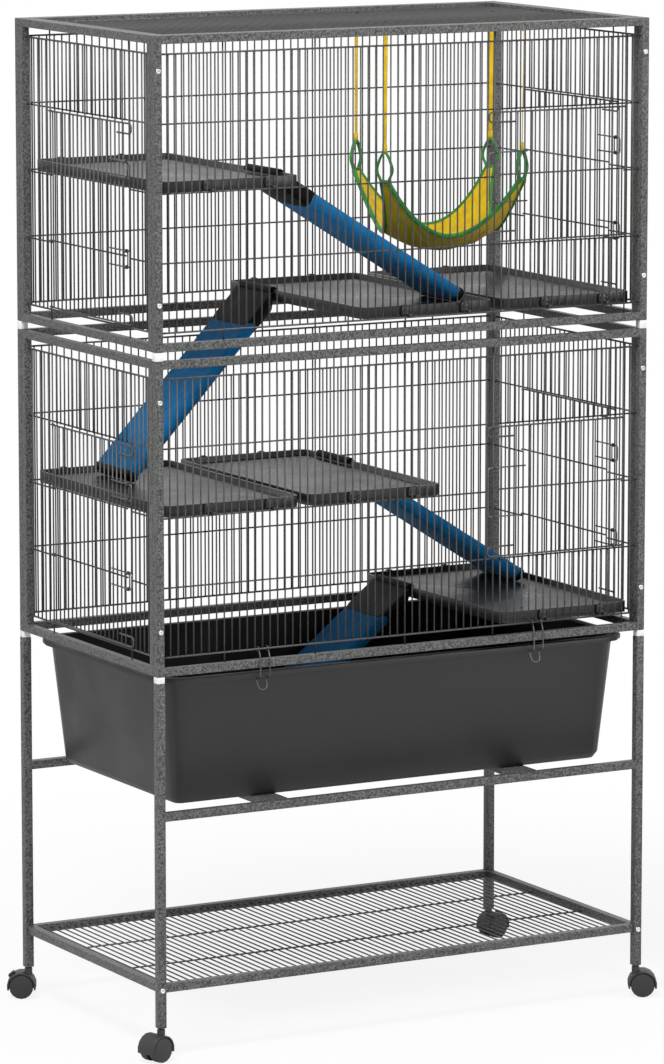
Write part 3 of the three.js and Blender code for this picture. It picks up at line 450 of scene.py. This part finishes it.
def door_leaf(side, level, place, width, height, count, door):
    """A door leaf between its two hairpin rails, and the bows of its latches."""
    pitch = (width - 2 * TUBE) / (count + 1)
    rows = row_heights(height)
    start = TUBE + door.hinge * pitch
    way = 1 if door.free > door.hinge else -1
    bays = abs(door.free - door.hinge)
    top, bottom = rows[1] - RAIL_OFFSET, rows[door.lowest_row] + RAIL_OFFSET
    tip = bays * pitch + HAIRPIN_PAST

    def at(u, y, z):
        return (start + way * u, y, z)

    leaf = Form()
    for z, inwards in ((top, -HAIRPIN_DROP), (bottom, HAIRPIN_DROP)):
        line = [at(RAIL_START, DOOR_Y, z), at(tip, DOOR_Y, z), at(tip, DOOR_Y, z + inwards)]
        line.append(at(tip - HAIRPIN_BACK, DOOR_Y, z + inwards))
        leaf.tube(bent(line, HAIRPIN_BEND, 7), RAIL)
        leaf.ring(at(0, WIRE_Y, z), (0, 0, 1), HINGE_EYE, HINGE_EYE_WIRE)
    for n in range(1, bays):
        leaf.tube([at(n * pitch, DOOR_Y, bottom), at(n * pitch, DOOR_Y, top)], WIRE)
    middle_end = (bays - 1) * pitch + MIDDLE_PAST
    for row in range(2, door.lowest_row):
        z = rows[row] + DOOR_WIRE_OFFSET
        leaf.tube([at(MIDDLE_START, DOOR_MIDDLE_Y, z), at(middle_end, DOOR_MIDDLE_Y, z)], CROSS)
        leaf.ring(at(0, WIRE_Y, z), (0, 0, 1), HINGE_EYE, HINGE_EYE_WIRE)
    node = f"{side}_door_{level}"
    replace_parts(leaf.make(node + "_leaf", node, WIRE_PAINT, "wire_paint", place), node)
    edge = bays * pitch
    for number, (z, prong) in enumerate(latches_of(door, rows)):
        bow = Form()
        near, far = edge + LATCH_PAST, edge - LATCH_BEHIND
        line = [at(far, LATCH_Y, z - prong), at(near, LATCH_Y, z - prong)]
        line += [at(near, LATCH_Y, z + prong), at(far, LATCH_Y, z + prong)]
        bow.tube(bent(line, LATCH_BEND, 6), LATCH_WIRE)
        name = f"{side}_latch_{level}" + ("" if door.latches == 1 else f"_{number + 1}")
        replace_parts(bow.make(name + "_bow", name, BARE_WIRE, "bare_wire", place), name)


# The upright wires at the hinge and at the free edge, and the cross wire at the foot, by number.
Door = namedtuple("Door", "hinge free lowest_row latches")
FRONT_DOOR = Door(62, 44, 3, 1)
RIGHT_DOOR = Door(24, 5, 4, 2)
LEFT_DOOR = Door(6, 25, 4, 2)
STOREYS = (("upper", UPPER_BOTTOM, UPPER_HEIGHT), ("lower", LOWER_BOTTOM, LOWER_HEIGHT))
side_start = TUBE + FIT
for level, bottom, height in STOREYS:
    for side, x, y, turn, width, count, door in (
        ("front", 0, 0, 0, LENGTH, LONG_WIRES, FRONT_DOOR),
        ("back", LENGTH, DEPTH, 180, LENGTH, LONG_WIRES, None),
        ("left", 0, DEPTH - side_start, -90, SIDE_WIDTH, SHORT_WIRES, LEFT_DOOR),
        ("right", LENGTH, side_start, 90, SIDE_WIDTH, SHORT_WIRES, RIGHT_DOOR),
    ):
        place = placed(x, y, bottom, turn)
        panel(f"{side}_panel_{level}", place, width, height, count, door)
        if door:
            door_leaf(side, level, place, width, height, count, door)
top_place = placed(side_start, side_start, UPPER_TOP, 0, -90)
panel("top_panel", top_place, TOP_LENGTH, SIDE_WIDTH, TOP_WIRES, None)

# ---------- Storage shelf ----------
SHELF_TOP, STAND_TUBE, SHELF_INSET = 107.0, 12.0, 3.0
LONG_SHELF_WIRES, LONG_WIRE_DROP = (144, 287), 2.35
shelf = Form()
near, far_x, far_y = SHELF_INSET, LENGTH - SHELF_INSET, DEPTH - SHELF_INSET
clear = STAND_TUBE + FIT
low = SHELF_TOP - STAND_TUBE
shelf.box((clear, near, low), (LENGTH - clear, near + STAND_TUBE, SHELF_TOP))
shelf.box((clear, far_y - STAND_TUBE, low), (LENGTH - clear, far_y, SHELF_TOP))
shelf.box((near, clear, low), (near + STAND_TUBE, DEPTH - clear, SHELF_TOP))
shelf.box((far_x - STAND_TUBE, clear, low), (far_x, DEPTH - clear, SHELF_TOP))
shelf_tubes = shelf.make("storage_shelf_tubes", ROOT, STAND_PAINT, "frame_paint", None, 0.9)
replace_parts(shelf_tubes, "storage_shelf")
mesh_wires = Form()
inner_x0, inner_x1 = near + STAND_TUBE, far_x - STAND_TUBE
middle = SHELF_TOP - STAND_TUBE / 2
wire_y0, wire_y1 = near + STAND_TUBE - EMBED, far_y - STAND_TUBE + EMBED
under = middle - LONG_WIRE_DROP
for n in range(1, SHELF_WIRES + 1):
    x = inner_x0 + n * (inner_x1 - inner_x0) / (SHELF_WIRES + 1)
    mesh_wires.tube([(x, wire_y0, middle), (x, wire_y1, middle)], WIRE)
for y in LONG_SHELF_WIRES:
    mesh_wires.tube([(inner_x0 - EMBED, y, under), (inner_x1 + EMBED, y, under)], CROSS)
mesh_wires.make("storage_shelf_wires", ROOT, WIRE_PAINT, "frame_paint")

# ---------- Tray clips ----------
CLIP_HALF, CLIP_WIRE, CLIP_BEND, CLIP_EYE, CLIP_EYE_WIRE = 7.4, 1.0, 3.5, 3.3, 0.75
# The side wire as Y and Z from the panel wire it hangs on: down before the tube, in under the rim.
CLIP_SIDE = [(-CLIP_EYE, 0), (-8.05, -13), (-8.05, -38), (5.0, -43.5), (1.0, -50)]
CLIP_END = [(-6.0, -1.0, -55.5), (0, -1.8, -58), (6.0, -1.0, -55.5)]
for side, n in (("left", 13), ("right", 50)):
    clip = Form()
    x = TUBE + n * LONG_PITCH
    z = LOWER_BOTTOM + TUBE + ROW_MARGIN
    for dx in (-CLIP_HALF, CLIP_HALF):
        clip.ring((dx, 0, 0), (1, 0, 0), CLIP_EYE, CLIP_EYE_WIRE)
    line = [(-CLIP_HALF, *spot) for spot in CLIP_SIDE] + CLIP_END
    line += [(CLIP_HALF, *spot) for spot in reversed(CLIP_SIDE)]
    clip.tube(bent(line, CLIP_BEND), CLIP_WIRE)
    name = f"tray_clip_{side}"
    shown = clip.make(name + "_wire", name, BARE_WIRE, "bare_wire", placed(x, WIRE_Y, z))
    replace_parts(shown, name)

# ---------- Ramps ----------
RAMP_LENGTH, RAMP_WIDTH, RAMP_THICK, OVER_PIVOT = 345.0, 110.0, 20.0, 3.0
UNDER = OVER_PIVOT - RAMP_THICK
UPPER_ROUND, LOWER_ROUND = 5.0, 14.0
CORNER_STEPS, TOP_STEPS, CAP_STEPS, COVER_STEPS, HOOK_STEPS = 6, 12, 31, 60, 14
CAP_START, CAP_END, CAP_CORNER, CAP_ROUND = 5.0, 67.0, 12.0, 4.0
CAP_OVER, CAP_UNDER = 0.5, 0.4
BEVEL_START, BEVEL_LENGTH = -1.0, 17.5
FOOT_ROUND = 11.0
FOOT_SECTIONS = ((336.0, -0.5), (340.0, -0.5), (342.5, 0.2), (344.3, 1.6), (345.0, 3.4))
COVER_START, COVER_END, COVER_LIP, COVER_SINK = 48, 340, 1.2, 0.2
RIPPLE, RIPPLE_ALONG, RIPPLE_ACROSS = 0.45, 0.03, 0.05
HOOK_OUTER, HOOK_INNER, HOOK_ENDS = 6.6, 4.4, (8.0, 102.0)
HOOK_START, HOOK_SWEEP = -5, 230
COVER_PROUD = 1.5
PIVOT_DROP = 2.5


def ramp_section(x, side, top, bottom, upper_round, lower_round):
    """A cross-section between two sides, each in by the same length, with rounded corners."""
    low_y, high_y = side, RAMP_WIDTH - side
    points = []
    for start, y, z, radius in (
        (0, high_y - upper_round, top - upper_round, upper_round),
        (90, low_y + upper_round, top - upper_round, upper_round),
        (180, low_y + lower_round, bottom + lower_round, lower_round),
        (270, high_y - lower_round, bottom + lower_round, lower_round),
    ):
        for k in range(CORNER_STEPS + 1):
            a = math.radians(start + 90 * k / CORNER_STEPS)
            points.append((x, y + radius * math.cos(a), z + radius * math.sin(a)))
        if start == 0:
            across = low_y + upper_round - y
            points += [(x, y + across * k / TOP_STEPS, top) for k in range(1, TOP_STEPS)]
    return points


def upper_cap(form):
    """The black end at the hook: bevelled under the hook, with round corners towards the cover."""
    sections = []
    top, lowest = OVER_PIVOT + CAP_OVER, UNDER - CAP_UNDER
    for k in range(CAP_STEPS + 1):
        x = CAP_START + (CAP_END - CAP_START) * math.sin(math.pi / 2 * k / CAP_STEPS)
        past = max(0.0, x - (CAP_END - CAP_CORNER))
        back = CAP_CORNER - math.sqrt(max(0.0, CAP_CORNER ** 2 - past ** 2))
        bevel = BEVEL_START + (lowest - BEVEL_START) * (x - CAP_START) / BEVEL_LENGTH
        bottom = max(lowest, bevel)
        lower_round = min(LOWER_ROUND, (top - bottom) * 0.6)
        upper_round = min(CAP_ROUND, (top - bottom) * 0.35)
        sections.append(ramp_section(x, back - CAP_OVER, top, bottom, upper_round, lower_round))
    form.loft(sections)


def foot_cap(form):
    """The black strip along the lower end."""
    form.loft([
        ramp_section(x, inset, OVER_PIVOT - inset, UNDER + inset, UPPER_ROUND, FOOT_ROUND)
        for x, inset in FOOT_SECTIONS
    ])


def ramp_cover(phase):
    """The cloth cover between the caps, slightly rippled on top."""
    cover = Form()
    rings = []
    for k in range(COVER_STEPS + 1):
        x_at = COVER_START + (COVER_END - COVER_START) * k / COVER_STEPS
        inset = COVER_LIP * max(0.0, 1 - min(k, COVER_STEPS - k) / 2)
        top, bottom = OVER_PIVOT - inset, UNDER + inset
        moved = []
        for x, y, z in ramp_section(x_at, inset, top, bottom, UPPER_ROUND, LOWER_ROUND):
            ripple = noise.noise(Vector((x * RIPPLE_ALONG, y * RIPPLE_ACROSS, phase)))
            moved.append((x, y, z + (RIPPLE * ripple if z > 0 else 0.0) - COVER_SINK))
        rings.append(moved)
    cover.loft(rings)
    return cover


def ramp_hook():
    """The bent strip that hooks over a platform's rim."""
    turns = [math.radians(HOOK_START + HOOK_SWEEP * k / HOOK_STEPS) for k in range(HOOK_STEPS + 1)]
    sections = []
    for y in HOOK_ENDS:
        outer = [(HOOK_OUTER * math.cos(a), y, HOOK_OUTER * math.sin(a)) for a in turns]
        inner = [(HOOK_INNER * math.cos(a), y, HOOK_INNER * math.sin(a)) for a in reversed(turns)]
        sections.append(outer + inner)
    hook = Form()
    hook.loft(sections, smooth=False)
    return hook


def ramp_slope(drop):
    """The angle at which a ramp's foot comes to rest at the given drop below its pivot."""
    under = RAMP_THICK - OVER_PIVOT - COVER_PROUD
    return math.asin((drop - FIT) / math.hypot(RAMP_LENGTH, under)) - math.atan2(under, RAMP_LENGTH)


def ramp(name, x, y, rim, floor, to_left):
    """A ramp hooked over a rim, leaning on the floor below, its cover rippled in its own way."""
    pivot = rim - PIVOT_DROP
    slope = math.degrees(ramp_slope(pivot - floor))
    place = placed(x, y, pivot, 180 if to_left else 0, 0, slope)
    if to_left:
        place = place @ Matrix.Translation((0, -RAMP_WIDTH, 0))
    phase = sum(ord(c) for c in name) * 0.173
    cover = ramp_cover(phase).make(name + "_cover", name, RAMP_BLUE, "ramp_cover", place)
    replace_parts(cover, name)
    ends = Form()
    upper_cap(ends)
    foot_cap(ends)
    ends.make(name + "_ends", name, RAMP_BLACK, "ramp_cover", place)
    ramp_hook().make(name + "_hook", name, RAMP_BLACK, "ramp_cover", place, bevel=0.3)


FIRST_LEFT, PLATFORM_LENGTH, PLATFORM_LIP = 8.5, 213.5, 3.5
RIM_OVER_ROW, FLOOR_DROP, TRAY_FLOOR = 15.5, 8.0, 352.8
LEFT_RIM, RIGHT_RIM = PLATFORM_LIP / 2, PLATFORM_LENGTH - PLATFORM_LIP / 2


def platform_left(bays):
    return TUBE + FIRST_LEFT + bays * LONG_PITCH


rim_high_upper, rim_low_upper, rim_high_lower, rim_low_lower = (
    bottom + row_heights(height)[row] + RIM_OVER_ROW
    for _, bottom, height in STOREYS for row in (2, 4)
)
for name, bays, rim_x, y, rim, lands, to_left in (
    ("ramp_upper", 0, RIGHT_RIM, 65, rim_high_upper, rim_low_upper - FLOOR_DROP, False),
    ("ramp_storeys", 26, LEFT_RIM, 270, rim_low_upper, rim_high_lower - FLOOR_DROP, True),
    ("ramp_lower", 19, RIGHT_RIM, 270, rim_high_lower, rim_low_lower - FLOOR_DROP, False),
    ("ramp_tray", 45, LEFT_RIM, 270, rim_low_lower, TRAY_FLOOR, True),
):
    ramp(name, platform_left(bays) + rim_x, y, rim, lands, to_left)

# ---------- Hammock ----------
HAMMOCK_X, HAMMOCK_Y, HALF, TURN = 577.0, 232.0, 100.0, -17.6
CORNER_DROP, EDGE_SAG, RELIEF, DRAW = 231.0, 85.4, 62.3, 0.248
CELLS, CUT = 48, 4
REACH = CELLS / (CELLS - CUT)
FOLD, CRUMPLE, CRUMPLE_SCALE = 12, 2.0, 0.035
FLAT_SIDE, CLOTH_THICK = 0.26, 0.0014
hang_place = placed(HAMMOCK_X, HAMMOCK_Y, UPPER_TOP)
to_cage = Matrix.Rotation(math.radians(TURN), 4, "Z") @ Matrix.Translation((0, 0, -CORNER_DROP))
cloth_place = hang_place @ to_cage


def cloth_point(i, j):
    """A point of the hanging cloth by its cell numbers; the cut corners end at the square's corners."""
    s, t = REACH * (2 * i / CELLS - 1), REACH * (2 * j / CELLS - 1)
    across, along = 1 - s * s, 1 - t * t
    x = s * HALF * (1 - DRAW * along)
    y = t * HALF * (1 - DRAW * across)
    sag = EDGE_SAG * (across + along) - RELIEF * across * along
    crease = math.cos(3 * math.pi * (s * s - t * t))
    fold = FOLD * abs(s * t) * max(across, 0) * max(along, 0) * crease
    spot = Vector((x * CRUMPLE_SCALE, y * CRUMPLE_SCALE, 4.2))
    fine = noise.noise(spot) * across * along * CRUMPLE
    return Vector((x, y, fold + fine - sag))


def inside(i, j):
    return min(i, CELLS - i) + min(j, CELLS - j) >= CUT


cloth_mesh = bpy.data.meshes.new("hammock_cloth")
number, points, flat_points = {}, [], []
for j in range(CELLS + 1):
    for i in range(CELLS + 1):
        if inside(i, j):
            number[i, j] = len(points)
            points.append(cloth_place @ cloth_point(i, j))
            flat_points.append(((i / CELLS - 0.5) * FLAT_SIDE, (j / CELLS - 0.5) * FLAT_SIDE))
faces = []
for j in range(CELLS):
    for i in range(CELLS):
        corners = [(i, j), (i + 1, j), (i + 1, j + 1), (i, j + 1)]
        face = [number[c] for c in corners if c in number]
        if len(face) > 2:
            faces.append(face)
cloth_mesh.from_pydata(points, [], faces)
cloth_mesh.polygons.foreach_set("use_smooth", [True] * len(faces))
uv = cloth_mesh.uv_layers.new(name="cut")
for loop in cloth_mesh.loops:
    uv.data[loop.index].uv = flat_points[loop.vertex_index]
cloth_mesh.materials.append(CLOTH)
cloth = bpy.data.objects.new("hammock_cloth", cloth_mesh)
bpy.context.scene.collection.objects.link(cloth)
thick = cloth.modifiers.new("thickness", "SOLIDIFY")
thick.thickness = CLOTH_THICK
thick.offset = 0.0
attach(cloth, ROOT)
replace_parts(cloth, "hammock")

FAR = CELLS - CUT
walk = [(i, 0) for i in range(CUT, FAR + 1)]
walk += [(FAR + i, i) for i in range(1, CUT)]
walk += [(CELLS, j) for j in range(CUT, FAR + 1)]
walk += [(CELLS - i, FAR + i) for i in range(1, CUT)]
walk += [(CELLS - i, CELLS) for i in range(CUT, FAR + 1)]
walk += [(CUT - i, CELLS - i) for i in range(1, CUT)]
walk += [(0, CELLS - j) for j in range(CUT, FAR + 1)]
walk += [(i, CUT - i) for i in range(1, CUT)]
edge_line = [to_cage @ cloth_point(i, j) for i, j in walk]
binding = Form()
binding.tube(edge_line, 3.4, closed=True, flat=0.62, side=(0, 0, 1))
tape = binding.make("hammock_binding", ROOT, TAPE, "hammock_cloth", hang_place)

# For each corner: the two ends of its cut, its signs, the top wire above it and its strap's flat side.
HAMMOCK_CORNERS = (
    ((CUT, 0), (0, CUT), (-1, -1), 36, (0.864, -0.479, 0)),
    ((FAR, 0), (CELLS, CUT), (1, -1), 52, (0.479, 0.864, 0)),
    ((CELLS, FAR), (FAR, CELLS), (1, 1), 57, (0.864, -0.479, 0)),
    ((0, FAR), (CUT, CELLS), (-1, 1), 41, (0.95, 0.31, 0)),
)
LOOP_RISE, LOOP_BEND, LOOP_HALF = 45.0, 16, 3.2
# Where a loop is widest and where it closes: the share of its height and how far it stands out.
LOOP_FORM = ((0.36, 14.5), (0.72, 8.0))
STRAP_DROP, STRAP_BEND, STRAP_HALF, LAP_HALF = 14, 6, 3.1, 3.9
HANGER_WIRE, HANGER_GAP, HANGER_BEND, HANGER_LONG, HANGER_SHORT = 0.8, 0.4, 2.2, 15, 4
top_pitch = (TOP_LENGTH - 2 * TUBE) / (TOP_WIRES + 1)


def loop_side(end, middle, crown, outwards):
    """Points up one side of a loop, from under the cloth's edge nearly to the crown."""
    side = [end + Vector((0, 0, -5)), end + Vector((0, 0, 2))]
    for share, out in LOOP_FORM:
        side.append(middle * (1 - share) + crown * share + outwards * out)
    return side


loops, straps, laps, hangers = Form(), Form(), Form(), Form()
for first_cell, second_cell, (s, t), wire_number, facing in HAMMOCK_CORNERS:
    first, second = to_cage @ cloth_point(*first_cell), to_cage @ cloth_point(*second_cell)
    corner = to_cage @ Vector((s * HALF, t * HALF, 0))
    wire_x = 2 * TUBE + FIT + wire_number * top_pitch - HAMMOCK_X
    wire_z = -WIRE_Y
    crown = Vector((corner.x, corner.y, corner.z + LOOP_RISE))
    middle = (first + second) / 2
    spread = (first - second).normalized()
    line = loop_side(first, middle, crown, spread) + [crown]
    line += loop_side(second, middle, crown, -spread)[::-1]
    level_side = spread.cross(Vector((0, 0, 1)))
    loops.tube(bent(line, LOOP_BEND, 7), LOOP_HALF, flat=0.5, side=level_side)
    top = Vector((wire_x, corner.y, wire_z - STRAP_DROP))
    webbing = [crown + Vector((0, 0, -3.5)), crown + Vector((0, 0, 6)), top]
    straps.tube(bent(webbing, STRAP_BEND), STRAP_HALF, flat=0.22, side=facing)
    lap = [crown + Vector((0, 0, -6)), crown + Vector((0, 0, 7))]
    laps.tube(lap, LAP_HALF, flat=0.62, side=facing)
    reach = WIRE + HANGER_GAP + HANGER_WIRE
    near, far = wire_x - reach, wire_x + reach
    hook = [(near, corner.y, wire_z - HANGER_LONG), (near, corner.y, wire_z + reach)]
    hook += [(far, corner.y, wire_z + reach), (far, corner.y, wire_z - HANGER_SHORT)]
    hangers.tube(bent(hook, HANGER_BEND), HANGER_WIRE)
loop_piece = loops.make("hammock_loops", ROOT, TAPE, "hammock_cloth", hang_place)
strap_piece = straps.make("hammock_straps", ROOT, STRAP, "hammock_cloth", hang_place)
lap_piece = laps.make("hammock_strap_laps", ROOT, STRAP, "hammock_cloth", hang_place)
hangers.make("hammock_hangers", ROOT, BARE_WIRE, "bare_wire", hang_place)

# ---------- Screws and platform knobs ----------
SCREW_INSET = 6.0
SCREW_DROPS = (48, 366, 499, 816)
SCREW_HEAD = [(3.8, -0.2), (3.8, 0.6), (3.1, 1.5), (1.6, 1.8), (1.5, 0.8), (0.0, 0.8)]
KNOB = [(5.6, 0.3), (6.0, 0.0), (8.6, 0.0), (9.5, 0.9), (9.5, 6.7)]
KNOB_INSET, KNOB_DROP = 9.6, 8
screws = Form()
for x in (SCREW_INSET, LENGTH - SCREW_INSET):
    for z in [UPPER_TOP - drop for drop in SCREW_DROPS] + [SHELF_TOP - 8]:
        for y, way in ((0.0, -1), (DEPTH, 1)):
            screws.lathe((x, y, z), (0, way, 0), SCREW_HEAD, 18)
screws.make("frame_screws", ROOT, ZINC, "bare_wire")

knobs = Form()
for bays, rim in (
    (0, rim_high_upper), (26, rim_low_upper), (45, rim_low_upper),
    (0, rim_high_lower), (19, rim_high_lower), (45, rim_low_lower),
):
    for bay_list, y, way in (((6.5, 14.5), KNOB_INSET, 1), ((4.5, 12.5), DEPTH - KNOB_INSET, -1)):
        for bay in bay_list:
            x = TUBE + (bays + bay) * LONG_PITCH
            knobs.lathe((x, y, rim - KNOB_DROP), (0, way, 0), KNOB, 28)
knobs.make("platform_knobs", ROOT, PLATFORM, "platform")


# ---------- Finishes of the solids that stay ----------
def smooth_group(angle):
    """Shades the solid's facets smooth up to an angle."""
    group = bpy.data.node_groups.new(f"smooth_{angle}", "GeometryNodeTree")
    group.interface.new_socket("Geometry", in_out="INPUT", socket_type="NodeSocketGeometry")
    group.interface.new_socket("Geometry", in_out="OUTPUT", socket_type="NodeSocketGeometry")
    enter = group.nodes.new("NodeGroupInput")
    leave = group.nodes.new("NodeGroupOutput")
    whole = group.nodes.new("GeometryNodeSetShadeSmooth")
    whole.domain = "FACE"
    sharp = group.nodes.new("GeometryNodeSetShadeSmooth")
    sharp.domain = "EDGE"
    sharp.inputs["Shade Smooth"].default_value = False
    corner = group.nodes.new("GeometryNodeInputMeshEdgeAngle")
    over = group.nodes.new("FunctionNodeCompare")
    over.operation = "GREATER_THAN"
    over.inputs[1].default_value = math.radians(angle)
    link = group.links.new
    link(enter.outputs[0], whole.inputs["Geometry"])
    link(whole.outputs[0], sharp.inputs["Geometry"])
    link(corner.outputs["Unsigned Angle"], over.inputs[0])
    link(over.outputs[0], sharp.inputs["Selection"])
    link(sharp.outputs[0], leave.inputs[0])
    return group


SMOOTH = smooth_group(35)


def dress(node, material, bevel):
    """Gives a solid that stays its material, rounded edges and smooth shading."""
    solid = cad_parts[node]
    solid.data.materials.clear()
    solid.data.materials.append(material)
    weld = solid.modifiers.new("weld", "WELD")
    weld.merge_threshold = 0.00001
    rounded(solid, bevel, 40)
    solid.modifiers.new("smooth", "NODES").node_group = SMOOTH


CORNERS = ("front_left", "front_right", "back_left", "back_right")
for node in ("stand_front_frame", "stand_back_frame"):
    dress(node, STAND_PAINT, 0.7)
for corner in CORNERS:
    dress(f"stand_plug_{corner}", PLUG, 0.5)
    dress(f"storey_plug_{corner}", PLUG, 0.5)
    dress(f"caster_body_{corner}", CASTER, 0.5)
    dress(f"caster_wheels_{corner}", WHEEL, 0.8)
for corner in CORNERS[2:]:
    dress(f"brake_lever_{corner}", CASTER, 0.6)
dress("litter_tray", TRAY, 0.9)
for level in ("upper", "lower"):
    for where in ("left", "middle", "right"):
        dress(f"platform_{level}_{where}", PLATFORM, 0.6)

# ---------- Floor, light and camera ----------
def floor_material():
    """Near white with a faint shadow near the object, and pure white further out."""
    material = bpy.data.materials.new("pale_floor")
    material.use_nodes = True
    nodes, link = material.node_tree.nodes, material.node_tree.links.new
    nodes.clear()
    out = nodes.new("ShaderNodeOutputMaterial")
    coords = nodes.new("ShaderNodeTexCoord")
    length = nodes.new("ShaderNodeVectorMath")
    length.operation = "LENGTH"
    fade = nodes.new("ShaderNodeMapRange")
    fade.interpolation_type = "SMOOTHSTEP"
    for key, value in (("From Min", 0.6), ("From Max", 1.7), ("To Min", 0.86), ("To Max", 1.0)):
        fade.inputs[key].default_value = value
    path = nodes.new("ShaderNodeLightPath")
    seen = nodes.new("ShaderNodeMath")
    seen.operation = "MULTIPLY"
    plain = nodes.new("ShaderNodeBsdfDiffuse")
    plain.inputs["Color"].default_value = (0.86, 0.86, 0.86, 1)
    white = nodes.new("ShaderNodeEmission")
    white.inputs["Color"].default_value = (1, 1, 1, 1)
    white.inputs["Strength"].default_value = 1.0
    mix = nodes.new("ShaderNodeMixShader")
    link(coords.outputs["Object"], length.inputs[0])
    link(length.outputs["Value"], fade.inputs["Value"])
    link(fade.outputs["Result"], seen.inputs[0])
    link(path.outputs["Is Camera Ray"], seen.inputs[1])
    link(seen.outputs[0], mix.inputs[0])
    link(plain.outputs[0], mix.inputs[1])
    link(white.outputs[0], mix.inputs[2])
    link(mix.outputs[0], out.inputs["Surface"])
    return material


floor_mesh = bpy.data.meshes.new("floor")
half = 30.0
floor_corners = [(-half, -half, 0), (half, -half, 0), (half, half, 0), (-half, half, 0)]
floor_mesh.from_pydata(floor_corners, [], [(0, 1, 2, 3)])
floor_mesh.materials.append(floor_material())
floor = bpy.data.objects.new("floor", floor_mesh)
floor.location.z = -0.0006
bpy.context.scene.collection.objects.link(floor)

world = bpy.data.worlds.new("studio")
bpy.context.scene.world = world
world.use_nodes = True
nodes, link = world.node_tree.nodes, world.node_tree.links.new
background = nodes["Background"]
background.inputs["Color"].default_value = (1, 1, 1, 1)
path = nodes.new("ShaderNodeLightPath")
seen = nodes.new("ShaderNodeMath")
seen.operation = "MAXIMUM"
either = nodes.new("ShaderNodeMath")
either.operation = "MAXIMUM"
link(path.outputs["Is Camera Ray"], seen.inputs[0])
link(path.outputs["Is Glossy Ray"], seen.inputs[1])
link(seen.outputs[0], either.inputs[0])
link(path.outputs["Is Transmission Ray"], either.inputs[1])
level = nodes.new("ShaderNodeMapRange")
level.inputs["To Min"].default_value = 0.5
level.inputs["To Max"].default_value = 1.0
link(either.outputs[0], level.inputs["Value"])
link(level.outputs["Result"], background.inputs["Strength"])


def lamp(name, spot, target, size, power):
    """A round area light at a spot, turned to a target."""
    light = bpy.data.lights.new(name, "AREA")
    light.shape = "DISK"
    light.size = size
    light.energy = power
    made = bpy.data.objects.new(name, light)
    made.location = spot
    made.rotation_mode = "QUATERNION"
    made.rotation_quaternion = (Vector(target) - Vector(spot)).to_track_quat("-Z", "Y")
    bpy.context.scene.collection.objects.link(made)


lamp("key", (-2.2, -1.9, 4.6), (0, 0, 0.7), 1.6, 190.0)
lamp("fill", (3.0, -3.4, 2.0), (0, 0, 0.7), 2.0, 45.0)

camera = bpy.data.cameras.new("camera")
camera.sensor_fit = "AUTO"
camera.sensor_width = 36.0
camera.lens = 188.8
camera.clip_end = 100.0
viewer = bpy.data.objects.new("camera", camera)
viewer.location = (-3.8345, -6.907, 1.934)
viewer.rotation_mode = "QUATERNION"
viewer.rotation_quaternion = Vector((0.4794, 0.8636, -0.1565)).to_track_quat("-Z", "Y")
bpy.context.scene.collection.objects.link(viewer)
bpy.context.scene.camera = viewer
bpy.context.scene.view_settings.view_transform = "Standard"

bpy.context.view_layer.update()
